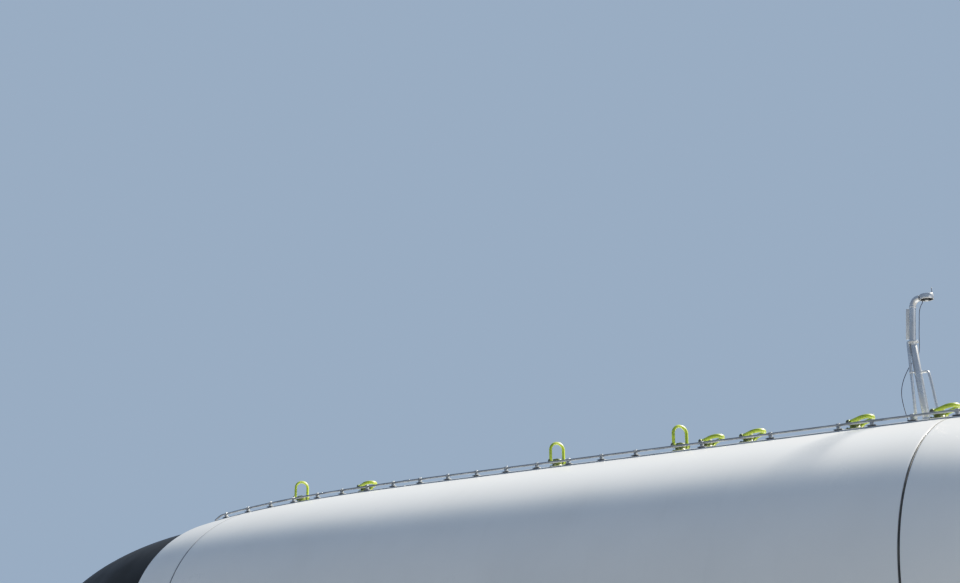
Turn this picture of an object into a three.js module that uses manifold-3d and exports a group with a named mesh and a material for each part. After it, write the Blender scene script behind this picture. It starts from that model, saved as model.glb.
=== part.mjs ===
// Wind turbine nacelle: a white tubular housing in three sections, with a domed black cover
// over the rotor end, a yaw collar and flange underneath, and rails, lifting rings and a
// sensor mast on the roof. Millimetres, +Z up. The origin is the centre of the yaw flange's
// bottom face, and +X runs from the rotor end to the rear.

import * as THREE from 'three';
import { mergeVertices } from 'three/addons/utils/BufferGeometryUtils.js';
import Module from 'manifold-3d';

const wasm = await Module();
wasm.setup();

// Clearances: between pieces that touch, and round a tube held in a clamp
const TOUCH_GAP = 0.3;
const ROOM = 0.45;

// Housing: half width, rise of the roof and drop of the belly from its widest line
const HALF_WIDTH = 2100;
const CROWN_RISE = 1720;
const BELLY_DROP = 1950;
const CROWN_POWER = 2.0;
const BELLY_POWER = 2.3;
const WAIST_HEIGHT = 2400;
const SECTION_SEGMENTS = 48;

// Housing along its length
const FRONT_RIM_X = -4840;
const FRONT_SEAM_X = -3990;
const REAR_SEAM_X = 6070;
const REAR_RIM_X = 8100;
const FRONT_SHOULDER = { start: 0, length: 7275, power: 3.11 };
const FRONT_STRAIGHT_X = -1000;
const REAR_SHOULDER = { start: 5700, length: 3000, power: 2.6 };
const RIM_WALL = 0.035;
const RIM_LIP = [0.35, 0.7];
const RIM_ROUND = 14;
const RECESS_DEPTH = 120;
const SEAM_WIDTH = 20;
const SEAM_INSET = 0.003;

// Covers over the two ends
const NOSE_LENGTH = 4000;
const NOSE_POWER = 1.72;
const NOSE_STEPS = 8;
const TAIL_EDGE_DEPTH = 30;
const TAIL_BULGE = 160;
const TAIL_STEPS = 4;
const COVER_GAP = 0.006;

// Yaw parts under the housing
const FLANGE_RADIUS = 1600;
const FLANGE_THICKNESS = 100;
const YAW_RING_RADIUS = 1500;
const YAW_RING_TOP = 230;
const COLLAR_RADIUS = 1720;
const COLLAR_TOP = 1000;
const ROUND_SEGMENTS = 48;

// Safety rails: the tube's bend at the front is [distance from its end, height over the roof]
const RAIL_Y = 550;
const RAIL_TUBE_RADIUS = 13;
const RAIL_HEIGHT = 65;
const RAIL_FRONT_X = -4750;
const RAIL_BEND = [[0, 17], [50, 40], [130, 65]];
const RAIL_JOINT_X = -1032;
const RAIL_REAR_X = 6400;
const RAIL_STATIONS = 12;
const RAIL_FRONT_STEPS = 40;
const RAIL_REAR_STEPS = 16;
const TRACK_WIDTH = 64;
const TRACK_HEIGHT = 14;
const TRACK_SINK = 60;
const TRACK_SPANS = 16;
const TRACK_SETBACK = 50;
const RAIL_FOOT_X = -4520;
const RAIL_FOOT_PITCH = 465;
const RAIL_FEET = 16;
const RAIL_WIDE_FEET = [3313, 4142, 4909, 5269, 5690, 6140];
const RAIL_FOOT_LENGTH = 40;
const RAIL_FOOT_WIDTH = 52;
const RAIL_FOOT_CAP = 10;

// Lifting rings
const RING_PAD = 150;
const RING_PAD_RISE = 24;
const RING_PAD_DEPTH = 80;
const RING_BODY_RADIUS = 58;
const RING_BODY_RISE = 104;
const RING_PIN_RISE = 74;
const RING_PIN_RADIUS = 20;
const RING_PIN_GAP = 1;
const RING_PIN_REACH = 112;
const RING_HEAD_RADIUS = 28;
const RING_HEAD_LENGTH = 9;
const RING_HEAD_GAP = 2;
const BAIL_HALF_WIDTH = 100;
const BAIL_LEG = 32;
const BAIL_HEIGHT = 245;
const BAIL_CROWN = 46;
const BAIL_THICKNESS = 44;
const BAIL_FOOT = 30;
const BAIL_FOLD = 80;
const LIFT_ROW_Y = -250;
const UPRIGHT_TURN = 60;
const FOLDED_TURN = 70;
const LIFTING_RINGS = [
  { name: 'lifting_ring_1', x: -3290, folded: false },
  { name: 'lifting_ring_2', x: -2060, folded: true },
  { name: 'lifting_ring_3', x: 1140, folded: false },
  { name: 'lifting_ring_4', x: 2860, folded: false },
  { name: 'lifting_ring_5', x: 3210, folded: true },
  { name: 'lifting_ring_6', x: 3720, folded: true },
  { name: 'lifting_ring_7', x: 4960, folded: true },
  { name: 'lifting_ring_8', x: 5850, folded: true },
];

// Sensor mast, on the centre line just ahead of the rear seam; heights are over the roof
const MAST_FOOT_X = 5600;
const MAST_FOOT_LENGTH = 460;
const MAST_FOOT_WIDTH = 190;
const MAST_FOOT_RISE = 16;
const MAST_FOOT_DEPTH = 80;
const SOCKET_RADIUS = 52;
const SOCKET_RISE = 75;
const MAST_TUBE_RADIUS = 39;
const MAST_LOWER_FOOT_X = 5626;
const MAST_LOWER_TOP = { x: 5545, z: 850 };
const MAST_END_OVERLAP = 10;
const KNUCKLE_PLATE = 16;
const KNUCKLE_LENGTH = 40;
const KNUCKLE_RADIUS = 60;
const KNUCKLE_HUB_RADIUS = 38;
const MAST_UPPER_RADIUS = 33;
const MAST_UPPER_BEND = { x: 5576, z: 1235 };
const MAST_ELBOW = [[5581, 1272], [5605, 1315], [5638, 1335]];
const MAST_UPPER_STEPS = 24;
const MAST_HEAD = { x: 5735, z: 1335 };
const HEAD_RING_RADIUS = 71;
const HEAD_RING_WALL = 5;
const HEAD_RING_HEIGHT = 58;
const HEAD_RING_ROOF = 6;
const SENSOR_PROFILE = [
  [0, 0],
  [20, 0],
  [20, 14],
  [12, 18],
  [12, 26],
  [24, 30],
  [24, 56],
  [18, 62],
  [0, 62],
];
const ROD_RADIUS = 6;
const ROD_HEIGHT = 62;
const ROD_INSET = 10;
const FIN_SIZE = { x: 42, y: 8, z: 326 };
const FIN_SINK = 4;
const FIN_PLACE = 0.54;
const LEG_RADIUS = 15;
const LEG_FOOT_X = 5528;
const LEG_TOP_X = 5512;
const LEG_Y = -46;
const BRACE_RADIUS = 14;
const BRACE_TOP = 570;
const BRACE_PATH = [
  [5593, 552],
  [5655, 555],
  [5676, 547],
  [5689, 512],
  [5742, 140],
  [5762, 0],
];
const LEAD_RADIUS = 5;
const LEAD_STEPS = 48;
const LEAD_SIDES = 6;
const LEAD_PATH = [
  [5683, 1357.7, 20],
  [5683, 1296, 20],
  [5654, 1258, 30],
  [5632, 1210, 40],
  [5619, 1100, 40],
  [5608, 1000, 42],
  [5597, 930, 55],
  [5587, 858, 67],
  [5578, 790, 66],
  [5554, 732, 62],
  [5480, 640, 30],
  [5405, 480, 0],
  [5378, 350, 0],
  [5404, 150, 0],
  [5430, 50, 0],
];

// Sides of thin, small and large round pieces
const SIDES = { thin: 8, small: 12, large: 20 };

function material(color, roughness, metalness) {
  return new THREE.MeshStandardMaterial({ color, roughness, metalness });
}

const finish = {
  shell: material('#e9edf0', 0.35, 0.0),
  cover: material('#14171a', 0.45, 0.0),
  seal: material('#2b2e31', 0.8, 0.0),
  castYaw: material('#8b9094', 0.55, 0.6),
  steel: material('#b9bec3', 0.35, 1.0),
  track: material('#5c646b', 0.5, 0.8),
  lift: material('#b6cf1e', 0.45, 0.1),
  sensor: material('#22262a', 0.5, 0.0),
  lead: material('#101214', 0.7, 0.0),
};

const nacelle = new THREE.Group();

function addPiece(name, geometry, surface) {
  const mesh = new THREE.Mesh(geometry, surface);
  mesh.name = name;
  nacelle.add(mesh);
  return mesh;
}

// Solids

function cleanGeometry(source) {
  const bare = source.index ? source.toNonIndexed() : source.clone();
  bare.deleteAttribute('normal');
  bare.deleteAttribute('uv');
  const merged = mergeVertices(bare, 1e-3);
  const index = merged.index.array;
  const kept = [];
  for (let i = 0; i < index.length; i += 3) {
    const [a, b, c] = [index[i], index[i + 1], index[i + 2]];
    if (a !== b && b !== c && a !== c) kept.push(a, b, c);
  }
  merged.setIndex(kept);
  return merged;
}

function toSolid(geometry) {
  const clean = cleanGeometry(geometry);
  return new wasm.Manifold(new wasm.Mesh({
    numProp: 3,
    vertProperties: new Float32Array(clean.attributes.position.array),
    triVerts: new Uint32Array(clean.index.array),
  }));
}

function toGeometry(solid) {
  const mesh = solid.getMesh();
  const geometry = new THREE.BufferGeometry();
  geometry.setAttribute('position', new THREE.BufferAttribute(new Float32Array(mesh.vertProperties), 3));
  geometry.setIndex(Array.from(mesh.triVerts));
  geometry.computeVertexNormals();
  return geometry;
}

function joined(geometries) {
  return geometries.map(toSolid).reduce((sum, part) => sum.add(part));
}

// Housing shape

// Height and side reach of the unit section at an angle from the +Y side, turning up
function sectionPoint(angle) {
  const side = Math.cos(angle);
  const rise = Math.sin(angle);
  const power = rise >= 0 ? CROWN_POWER : BELLY_POWER;
  const reach = rise >= 0 ? CROWN_RISE : BELLY_DROP;
  const y = HALF_WIDTH * Math.sign(side) * Math.abs(side) ** (2 / power);
  const z = reach * Math.sign(rise) * Math.abs(rise) ** (2 / power);
  return { y, z };
}

function shoulderScale(distance, shoulder) {
  const share = Math.min(Math.max(distance / shoulder.length, 0), 1);
  return (1 - share ** shoulder.power) ** (1 / shoulder.power);
}

// Size of the housing's section at a station along X, as a share of the full section
function housingScale(x) {
  const front = shoulderScale(FRONT_SHOULDER.start - x, FRONT_SHOULDER);
  const rear = shoulderScale(x - REAR_SHOULDER.start, REAR_SHOULDER);
  return Math.min(front, rear);
}

function roofHeight(x, y) {
  const scale = housingScale(x);
  const share = Math.min(Math.abs(y) / (HALF_WIDTH * scale), 1);
  return WAIST_HEIGHT + CROWN_RISE * scale * Math.sqrt(1 - share ** 2);
}

// Turns a profile of [scale, x] pairs into a closed body with the housing's section
function housingBody(profile) {
  const points = profile.map(([scale, x]) => new THREE.Vector2(scale * HALF_WIDTH, x));
  const geometry = new THREE.LatheGeometry(points, SECTION_SEGMENTS);
  const position = geometry.attributes.position;
  for (let i = 0; i < position.count; i += 1) {
    const radius = Math.hypot(position.getX(i), position.getZ(i));
    const angle = Math.atan2(position.getZ(i), position.getX(i));
    const { y, z } = sectionPoint(angle);
    const scale = radius / HALF_WIDTH;
    position.setXYZ(i, position.getY(i), -y * scale, WAIST_HEIGHT + z * scale);
  }
  return geometry;
}

function stations(from, to, count) {
  return Array.from({ length: count + 1 }, (_, i) => from + (to - from) * (i / count));
}

function outline(list) {
  return list.map((x) => [housingScale(x), x]);
}

const frontRimScale = housingScale(FRONT_RIM_X);
const rearRimScale = housingScale(REAR_RIM_X);
const halfSeam = SEAM_WIDTH / 2;

const frontStations = stations(FRONT_RIM_X + RIM_ROUND, FRONT_SEAM_X - halfSeam, 3);
const middleStations = [
  ...stations(FRONT_SEAM_X + halfSeam, FRONT_STRAIGHT_X, 5),
  REAR_SHOULDER.start,
  REAR_SEAM_X - halfSeam,
];
const rearStations = stations(REAR_SEAM_X + halfSeam, REAR_RIM_X - RIM_ROUND, 6);

function frontSection() {
  const inner = frontRimScale - RIM_WALL;
  const floorX = FRONT_RIM_X + RECESS_DEPTH;
  return housingBody([
    [0, floorX],
    [inner, floorX],
    [inner, FRONT_RIM_X + RIM_ROUND],
    ...RIM_LIP.map((share) => [inner + RIM_WALL * share, FRONT_RIM_X]),
    ...outline(frontStations),
    [0, FRONT_SEAM_X - halfSeam],
  ]);
}

function middleSection() {
  return housingBody([
    [0, FRONT_SEAM_X + halfSeam],
    ...outline(middleStations),
    [0, REAR_SEAM_X - halfSeam],
  ]);
}

function rearSection() {
  const inner = rearRimScale - RIM_WALL;
  const floorX = REAR_RIM_X - RECESS_DEPTH;
  return housingBody([
    [0, REAR_SEAM_X + halfSeam],
    ...outline(rearStations),
    ...[...RIM_LIP].reverse().map((share) => [inner + RIM_WALL * share, REAR_RIM_X]),
    [inner, REAR_RIM_X - RIM_ROUND],
    [inner, floorX],
    [0, floorX],
  ]);
}

function seamSeal(x) {
  const scale = housingScale(x) - SEAM_INSET;
  const half = halfSeam - TOUCH_GAP;
  return housingBody([
    [0, x - half],
    [scale, x - half],
    [scale, x + half],
    [0, x + half],
  ]);
}

function noseCover() {
  const scale = frontRimScale - RIM_WALL - COVER_GAP;
  const baseX = FRONT_RIM_X + RECESS_DEPTH - TOUCH_GAP;
  const dome = Array.from({ length: NOSE_STEPS + 1 }, (_, i) => {
    const turn = (i / NOSE_STEPS) * Math.PI / 2;
    const reach = Math.sin(turn) ** (2 / NOSE_POWER);
    const size = i === NOSE_STEPS ? 0 : Math.cos(turn) ** (2 / NOSE_POWER);
    return [scale * size, FRONT_RIM_X - NOSE_LENGTH * reach];
  });
  return housingBody([...dome.reverse(), [scale, baseX], [0, baseX]]);
}

function tailPanel() {
  const scale = rearRimScale - RIM_WALL - COVER_GAP;
  const baseX = REAR_RIM_X - RECESS_DEPTH + TOUCH_GAP;
  const bulge = Array.from({ length: TAIL_STEPS + 1 }, (_, i) => {
    const share = i / TAIL_STEPS;
    return [scale * Math.sqrt(1 - share), REAR_RIM_X - TAIL_EDGE_DEPTH + TAIL_BULGE * share];
  });
  return housingBody([[0, baseX], [scale, baseX], ...bulge]);
}

addPiece('front_section', frontSection(), finish.shell);
addPiece('middle_section', middleSection(), finish.shell);
addPiece('rear_section', rearSection(), finish.shell);
addPiece('front_seam_seal', seamSeal(FRONT_SEAM_X), finish.seal);
addPiece('rear_seam_seal', seamSeal(REAR_SEAM_X), finish.seal);
addPiece('nose_cover', noseCover(), finish.cover);
addPiece('tail_panel', tailPanel(), finish.shell);

// A body just larger than the housing, which trims whatever sits on it
function housingCutter() {
  const grow = 1 + TOUCH_GAP / CROWN_RISE;
  const all = [...frontStations, ...middleStations, ...rearStations];
  const profile = all.map((x) => [housingScale(x) * grow, x]);
  profile[0][1] = FRONT_RIM_X - 1;
  profile[profile.length - 1][1] = REAR_RIM_X + 1;
  return toSolid(housingBody([[0, profile[0][1]], ...profile, [0, profile[profile.length - 1][1]]]));
}

const cutter = housingCutter();

// Yaw parts

function disc(radius, low, high) {
  const geometry = new THREE.CylinderGeometry(radius, radius, high - low, ROUND_SEGMENTS);
  geometry.rotateX(Math.PI / 2);
  geometry.translate(0, 0, (low + high) / 2);
  return geometry;
}

addPiece('yaw_flange', disc(FLANGE_RADIUS, 0, FLANGE_THICKNESS), finish.castYaw);
addPiece('yaw_ring', disc(YAW_RING_RADIUS, FLANGE_THICKNESS + TOUCH_GAP, YAW_RING_TOP), finish.castYaw);
const collar = toSolid(disc(COLLAR_RADIUS, YAW_RING_TOP + TOUCH_GAP, COLLAR_TOP)).subtract(cutter);
addPiece('yaw_collar', toGeometry(collar), finish.shell);

// Tubes

function circleShape(radius, sides) {
  const shape = new THREE.Shape();
  for (let i = 0; i < sides; i += 1) {
    const angle = (i / sides) * Math.PI * 2;
    const x = radius * Math.cos(angle);
    const y = radius * Math.sin(angle);
    if (i === 0) shape.moveTo(x, y);
    else shape.lineTo(x, y);
  }
  shape.closePath();
  return shape;
}

function tubeAlong(points, radius, steps, sides = SIDES.thin) {
  const path = new THREE.CatmullRomCurve3(points, false, 'centripetal');
  return new THREE.ExtrudeGeometry(circleShape(radius, sides), {
    steps,
    extrudePath: path,
    bevelEnabled: false,
  });
}

function straightTube(start, end, radius, sides = SIDES.small) {
  const length = start.distanceTo(end);
  const geometry = new THREE.CylinderGeometry(radius, radius, length, sides);
  const direction = end.clone().sub(start).normalize();
  geometry.applyQuaternion(new THREE.Quaternion().setFromUnitVectors(new THREE.Vector3(0, 1, 0), direction));
  const middle = start.clone().add(end).multiplyScalar(0.5);
  geometry.translate(middle.x, middle.y, middle.z);
  return geometry;
}

function block(center, size) {
  const geometry = new THREE.BoxGeometry(size.x, size.y, size.z);
  geometry.translate(center.x, center.y, center.z);
  return geometry;
}

// Safety rails

function overRoof(x, y, height) {
  return new THREE.Vector3(x, y, roofHeight(x, y) + height);
}

// The front length of rail, which bends down to the roof at its end
function frontRail(y, radius) {
  const bend = RAIL_BEND.map(([distance, height]) => overRoof(RAIL_FRONT_X + distance, y, height));
  const [bendLength] = RAIL_BEND[RAIL_BEND.length - 1];
  const run = stations(RAIL_FRONT_X + bendLength * 2, RAIL_JOINT_X - TOUCH_GAP, RAIL_STATIONS);
  const points = [...bend, ...run.map((x) => overRoof(x, y, RAIL_HEIGHT))];
  return tubeAlong(points, radius, RAIL_FRONT_STEPS);
}

function rearRail(y, radius) {
  const points = stations(RAIL_JOINT_X, RAIL_REAR_X, RAIL_STATIONS).map((x) => overRoof(x, y, RAIL_HEIGHT));
  return tubeAlong(points, radius, RAIL_REAR_STEPS);
}

// A flat bar that lies along the roof, with its lower part sunk in to be trimmed off
function trackBar(from, to, y) {
  const geometry = new THREE.BoxGeometry(to - from, TRACK_WIDTH, 1, TRACK_SPANS, 1, 1);
  const position = geometry.attributes.position;
  for (let i = 0; i < position.count; i += 1) {
    const x = (from + to) / 2 + position.getX(i);
    const across = y + position.getY(i);
    const rise = position.getZ(i) > 0 ? TRACK_HEIGHT : -TRACK_SINK;
    position.setXYZ(i, x, across, roofHeight(x, across) + rise);
  }
  return geometry;
}

function railFoot(x, y) {
  const top = roofHeight(x, y) + RAIL_HEIGHT + RAIL_TUBE_RADIUS + RAIL_FOOT_CAP;
  const bottom = roofHeight(x, y) - TRACK_SINK / 2;
  const center = { x, y, z: (top + bottom) / 2 };
  return block(center, { x: RAIL_FOOT_LENGTH, y: RAIL_FOOT_WIDTH, z: top - bottom });
}

// A bar with the feet that hold a length of tube over it
function railTrack(from, to, y) {
  const close = Array.from({ length: RAIL_FEET }, (_, i) => RAIL_FOOT_X + i * RAIL_FOOT_PITCH);
  const spots = [...close, ...RAIL_WIDE_FEET].filter((x) => x > from && x < to);
  const feet = spots.map((x) => railFoot(x, y));
  return joined([trackBar(from + TRACK_SETBACK, to - TRACK_SETBACK, y), ...feet]);
}

function addRail(side, label) {
  const y = side * RAIL_Y;
  const lengths = [
    { part: 'front', tube: frontRail, from: RAIL_FRONT_X, to: RAIL_JOINT_X },
    { part: 'rear', tube: rearRail, from: RAIL_JOINT_X, to: RAIL_REAR_X },
  ];
  lengths.forEach(({ part, tube, from, to }) => {
    const room = toSolid(tube(y, RAIL_TUBE_RADIUS + ROOM));
    addPiece(`${label}_rail_${part}`, tube(y, RAIL_TUBE_RADIUS), finish.steel);
    addPiece(
      `${label}_rail_track_${part}`,
      toGeometry(railTrack(from, to, y).subtract(room).subtract(cutter)),
      finish.track,
    );
  });
}

addRail(-1, 'near');
addRail(1, 'far');

// Lifting rings

function bailShape() {
  const arch = BAIL_HALF_WIDTH;
  const inner = BAIL_HALF_WIDTH - BAIL_LEG;
  const shape = new THREE.Shape();
  shape.moveTo(-arch, -BAIL_FOOT);
  shape.lineTo(-inner, -BAIL_FOOT);
  shape.lineTo(-inner, BAIL_HEIGHT - BAIL_CROWN - inner);
  shape.absarc(0, BAIL_HEIGHT - BAIL_CROWN - inner, inner, Math.PI, 0, true);
  shape.lineTo(inner, -BAIL_FOOT);
  shape.lineTo(arch, -BAIL_FOOT);
  shape.lineTo(arch, BAIL_HEIGHT - arch);
  shape.absarc(0, BAIL_HEIGHT - arch, arch, 0, Math.PI, false);
  shape.closePath();
  return shape;
}

// The bail stands in the XZ plane about its pin, which lies along X through the origin
function bailSolid() {
  const geometry = new THREE.ExtrudeGeometry(bailShape(), {
    depth: BAIL_THICKNESS,
    curveSegments: 7,
    bevelEnabled: false,
  });
  geometry.translate(0, 0, -BAIL_THICKNESS / 2);
  geometry.rotateX(Math.PI / 2);
  const bore = straightTube(
    new THREE.Vector3(-RING_PIN_REACH, 0, 0),
    new THREE.Vector3(RING_PIN_REACH, 0, 0),
    RING_PIN_RADIUS + RING_PIN_GAP,
  );
  return toSolid(geometry).subtract(toSolid(bore));
}

function ringBase(x, y, turn) {
  const roof = roofHeight(x, y);
  const parts = [
    block(
      { x: 0, y: 0, z: RING_PAD_RISE - RING_PAD_DEPTH / 2 },
      { x: RING_PAD, y: RING_PAD, z: RING_PAD_DEPTH },
    ),
    straightTube(
      new THREE.Vector3(0, 0, 0),
      new THREE.Vector3(0, 0, RING_BODY_RISE),
      RING_BODY_RADIUS,
      SIDES.large,
    ),
    straightTube(
      new THREE.Vector3(-RING_PIN_REACH, 0, RING_PIN_RISE),
      new THREE.Vector3(RING_PIN_REACH, 0, RING_PIN_RISE),
      RING_PIN_RADIUS,
    ),
  ];
  [-1, 1].forEach((end) => {
    const inner = end * (BAIL_HALF_WIDTH + RING_HEAD_GAP);
    parts.push(straightTube(
      new THREE.Vector3(inner, 0, RING_PIN_RISE),
      new THREE.Vector3(inner + end * RING_HEAD_LENGTH, 0, RING_PIN_RISE),
      RING_HEAD_RADIUS,
    ));
  });
  parts.forEach((part) => {
    part.rotateZ(THREE.MathUtils.degToRad(turn));
    part.translate(x, y, roof);
  });
  return toGeometry(joined(parts).subtract(cutter));
}

LIFTING_RINGS.forEach(({ name, x, folded }) => {
  const y = LIFT_ROW_Y;
  const turn = folded ? FOLDED_TURN : UPRIGHT_TURN;
  addPiece(`${name}_base`, ringBase(x, y, turn), finish.lift);
  const bail = addPiece(`${name}_bail`, toGeometry(bailSolid()), finish.lift);
  bail.geometry.rotateX(THREE.MathUtils.degToRad(folded ? BAIL_FOLD : 0));
  bail.geometry.rotateZ(THREE.MathUtils.degToRad(turn));
  bail.position.set(x, y, roofHeight(x, y) + RING_PIN_RISE);
});

// Sensor mast

const mastRoof = roofHeight(MAST_FOOT_X, 0);

// A point on the mast's plane, with its height over the roof
function mastPoint(x, z, y = 0) {
  return new THREE.Vector3(x, y, mastRoof + z);
}

// Cuts a mast piece off level at two heights, so that leaning tubes end flat on their seats
function trimmed(geometry, low, high) {
  const slab = block(
    { x: MAST_FOOT_X, y: 0, z: mastRoof + (low + high) / 2 },
    { x: MAST_FOOT_LENGTH * 2, y: MAST_FOOT_WIDTH * 2, z: high - low },
  );
  return toSolid(geometry).intersect(toSolid(slab));
}

const footTop = MAST_FOOT_RISE + TOUCH_GAP;
const knuckleBottom = MAST_LOWER_TOP.z + TOUCH_GAP;
const knuckleTop = knuckleBottom + KNUCKLE_LENGTH;
const lowerStart = mastPoint(MAST_LOWER_FOOT_X, 0);
const lowerEnd = mastPoint(MAST_LOWER_TOP.x, MAST_LOWER_TOP.z + MAST_END_OVERLAP);

// The leaning lower tube, or with some room the space that it needs
function lowerTube(room) {
  return straightTube(lowerStart, lowerEnd, MAST_TUBE_RADIUS + room, SIDES.large);
}

function mastFoot() {
  const plate = block(
    { x: MAST_FOOT_X, y: 0, z: mastRoof + MAST_FOOT_RISE - MAST_FOOT_DEPTH / 2 },
    { x: MAST_FOOT_LENGTH, y: MAST_FOOT_WIDTH, z: MAST_FOOT_DEPTH },
  );
  const socket = straightTube(
    mastPoint(MAST_LOWER_FOOT_X, 0),
    mastPoint(MAST_LOWER_FOOT_X, SOCKET_RISE),
    SOCKET_RADIUS,
    SIDES.large,
  );
  const tubeRoom = trimmed(lowerTube(ROOM), MAST_FOOT_RISE, MAST_LOWER_TOP.z);
  return toGeometry(joined([plate, socket]).subtract(tubeRoom).subtract(cutter));
}

function mastKnuckle() {
  const x = MAST_LOWER_TOP.x;
  const plateTop = mastPoint(x, knuckleBottom + KNUCKLE_PLATE);
  return toGeometry(joined([
    straightTube(mastPoint(x, knuckleBottom), plateTop, KNUCKLE_RADIUS, SIDES.large),
    straightTube(mastPoint(x, knuckleBottom), mastPoint(x, knuckleTop), KNUCKLE_HUB_RADIUS, SIDES.large),
  ]));
}

const upperFoot = mastPoint(MAST_LOWER_TOP.x, knuckleTop - MAST_END_OVERLAP);
const upperBend = mastPoint(MAST_UPPER_BEND.x, MAST_UPPER_BEND.z);
const upperEnd = mastPoint(MAST_HEAD.x - HEAD_RING_RADIUS, MAST_HEAD.z);

function upperTube(extraRadius) {
  const points = [
    upperFoot,
    upperFoot.clone().lerp(upperBend, 0.5),
    upperBend,
    ...MAST_ELBOW.map(([x, z]) => mastPoint(x, z)),
    upperEnd,
  ];
  const tube = trimmed(
    tubeAlong(points, MAST_UPPER_RADIUS + extraRadius, MAST_UPPER_STEPS, SIDES.small),
    knuckleTop + TOUCH_GAP,
    MAST_HEAD.z + MAST_UPPER_RADIUS * 2,
  );
  const ringRoom = straightTube(
    mastPoint(MAST_HEAD.x, MAST_HEAD.z - MAST_UPPER_RADIUS * 3),
    mastPoint(MAST_HEAD.x, MAST_HEAD.z + MAST_UPPER_RADIUS * 3),
    HEAD_RING_RADIUS + TOUCH_GAP,
    SIDES.large,
  );
  return tube.subtract(toSolid(ringRoom));
}

// A plate along the front side of the upper tube
function mastFin() {
  const rise = upperBend.clone().sub(upperFoot);
  const lean = Math.atan2(rise.x, rise.z);
  const geometry = new THREE.BoxGeometry(FIN_SIZE.x, FIN_SIZE.y, FIN_SIZE.z);
  geometry.translate(-MAST_UPPER_RADIUS - FIN_SIZE.x / 2 + FIN_SINK, 0, 0);
  geometry.rotateY(lean);
  const middle = upperFoot.clone().lerp(upperBend, FIN_PLACE);
  geometry.translate(middle.x, middle.y, middle.z);
  return toGeometry(toSolid(geometry).subtract(upperTube(ROOM)));
}

function mastBrace() {
  const points = BRACE_PATH.map(([x, z]) => mastPoint(x, z));
  const bar = trimmed(tubeAlong(points, BRACE_RADIUS, 14), footTop, BRACE_TOP + BRACE_RADIUS * 2);
  return toGeometry(bar.subtract(toSolid(lowerTube(ROOM))));
}

// A short cup, open underneath, that shields the sensor inside it
function sensorRing() {
  const half = HEAD_RING_HEIGHT / 2;
  const bore = HEAD_RING_RADIUS - HEAD_RING_WALL;
  const profile = [
    [0, half - HEAD_RING_ROOF],
    [bore, half - HEAD_RING_ROOF],
    [bore, -half],
    [HEAD_RING_RADIUS, -half],
    [HEAD_RING_RADIUS, half],
    [0, half],
  ].map(([radius, z]) => new THREE.Vector2(radius, z));
  const geometry = new THREE.LatheGeometry(profile, SIDES.large);
  geometry.rotateX(Math.PI / 2);
  geometry.translate(MAST_HEAD.x, 0, mastRoof + MAST_HEAD.z);
  return geometry;
}

function windSensor() {
  const profile = SENSOR_PROFILE.map(([radius, drop]) => new THREE.Vector2(radius, -drop)).reverse();
  const geometry = new THREE.LatheGeometry(profile, SIDES.small);
  geometry.rotateX(Math.PI / 2);
  const seat = MAST_HEAD.z + HEAD_RING_HEIGHT / 2 - HEAD_RING_ROOF - TOUCH_GAP;
  geometry.translate(MAST_HEAD.x, 0, mastRoof + seat);
  return geometry;
}

function airRod() {
  const x = MAST_HEAD.x + HEAD_RING_RADIUS - ROD_INSET;
  const foot = MAST_HEAD.z + HEAD_RING_HEIGHT / 2 + TOUCH_GAP;
  return straightTube(mastPoint(x, foot), mastPoint(x, foot + ROD_HEIGHT), ROD_RADIUS);
}

// The sensor's lead runs down beside the tube, round the knuckle, and bows out to its gland
function mastLead() {
  const points = LEAD_PATH.map(([x, z, y]) => mastPoint(x, z, y));
  const gland = mastPoint(points[points.length - 1].x, footTop);
  return tubeAlong([...points, gland], LEAD_RADIUS, LEAD_STEPS, LEAD_SIDES);
}

function mastLeg() {
  const bar = straightTube(
    mastPoint(LEG_FOOT_X, 0, LEG_Y),
    mastPoint(LEG_TOP_X, MAST_LOWER_TOP.z + MAST_END_OVERLAP, LEG_Y),
    LEG_RADIUS,
  );
  return toGeometry(trimmed(bar, footTop, MAST_LOWER_TOP.z));
}

addPiece('mast_foot', mastFoot(), finish.steel);
addPiece('mast_lower_tube', toGeometry(trimmed(lowerTube(0), footTop, MAST_LOWER_TOP.z)), finish.steel);
addPiece('mast_knuckle', mastKnuckle(), finish.steel);
addPiece('mast_upper_tube', toGeometry(upperTube(0)), finish.steel);
addPiece('mast_fin', mastFin(), finish.steel);
addPiece('mast_leg', mastLeg(), finish.steel);
addPiece('mast_brace', mastBrace(), finish.steel);
addPiece('sensor_ring', sensorRing(), finish.steel);
addPiece('wind_sensor', windSensor(), finish.sensor);
addPiece('air_rod', airRod(), finish.steel);
addPiece('mast_lead', mastLead(), finish.lead);

nacelle.updateMatrixWorld(true);

export default nacelle;
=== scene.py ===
"""Wind turbine nacelle: smooth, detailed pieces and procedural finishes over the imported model.

Everything is in metres in the row's frame: the origin is the centre of the yaw flange's
bottom face, +Z is up, +X runs from the rotor end to the rear, and the near side is -Y.
"""

import logging
import math
from dataclasses import dataclass, field, replace
from enum import Enum
from typing import Callable, Sequence

import bmesh
import bpy
from mathutils import Matrix, Vector


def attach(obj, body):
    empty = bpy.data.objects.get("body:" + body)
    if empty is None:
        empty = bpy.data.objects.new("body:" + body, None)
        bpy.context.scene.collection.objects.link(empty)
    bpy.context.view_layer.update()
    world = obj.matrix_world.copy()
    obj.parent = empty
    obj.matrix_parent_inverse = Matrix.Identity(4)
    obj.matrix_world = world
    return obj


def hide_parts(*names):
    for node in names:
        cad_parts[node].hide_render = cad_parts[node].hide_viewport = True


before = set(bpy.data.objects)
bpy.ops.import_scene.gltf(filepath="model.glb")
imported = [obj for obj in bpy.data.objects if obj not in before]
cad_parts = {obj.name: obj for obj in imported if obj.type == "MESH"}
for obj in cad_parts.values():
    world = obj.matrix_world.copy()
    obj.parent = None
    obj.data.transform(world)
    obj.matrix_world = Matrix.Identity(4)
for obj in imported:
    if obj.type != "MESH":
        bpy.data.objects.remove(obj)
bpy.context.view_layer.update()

LOG = logging.getLogger("nacelle")
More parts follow.
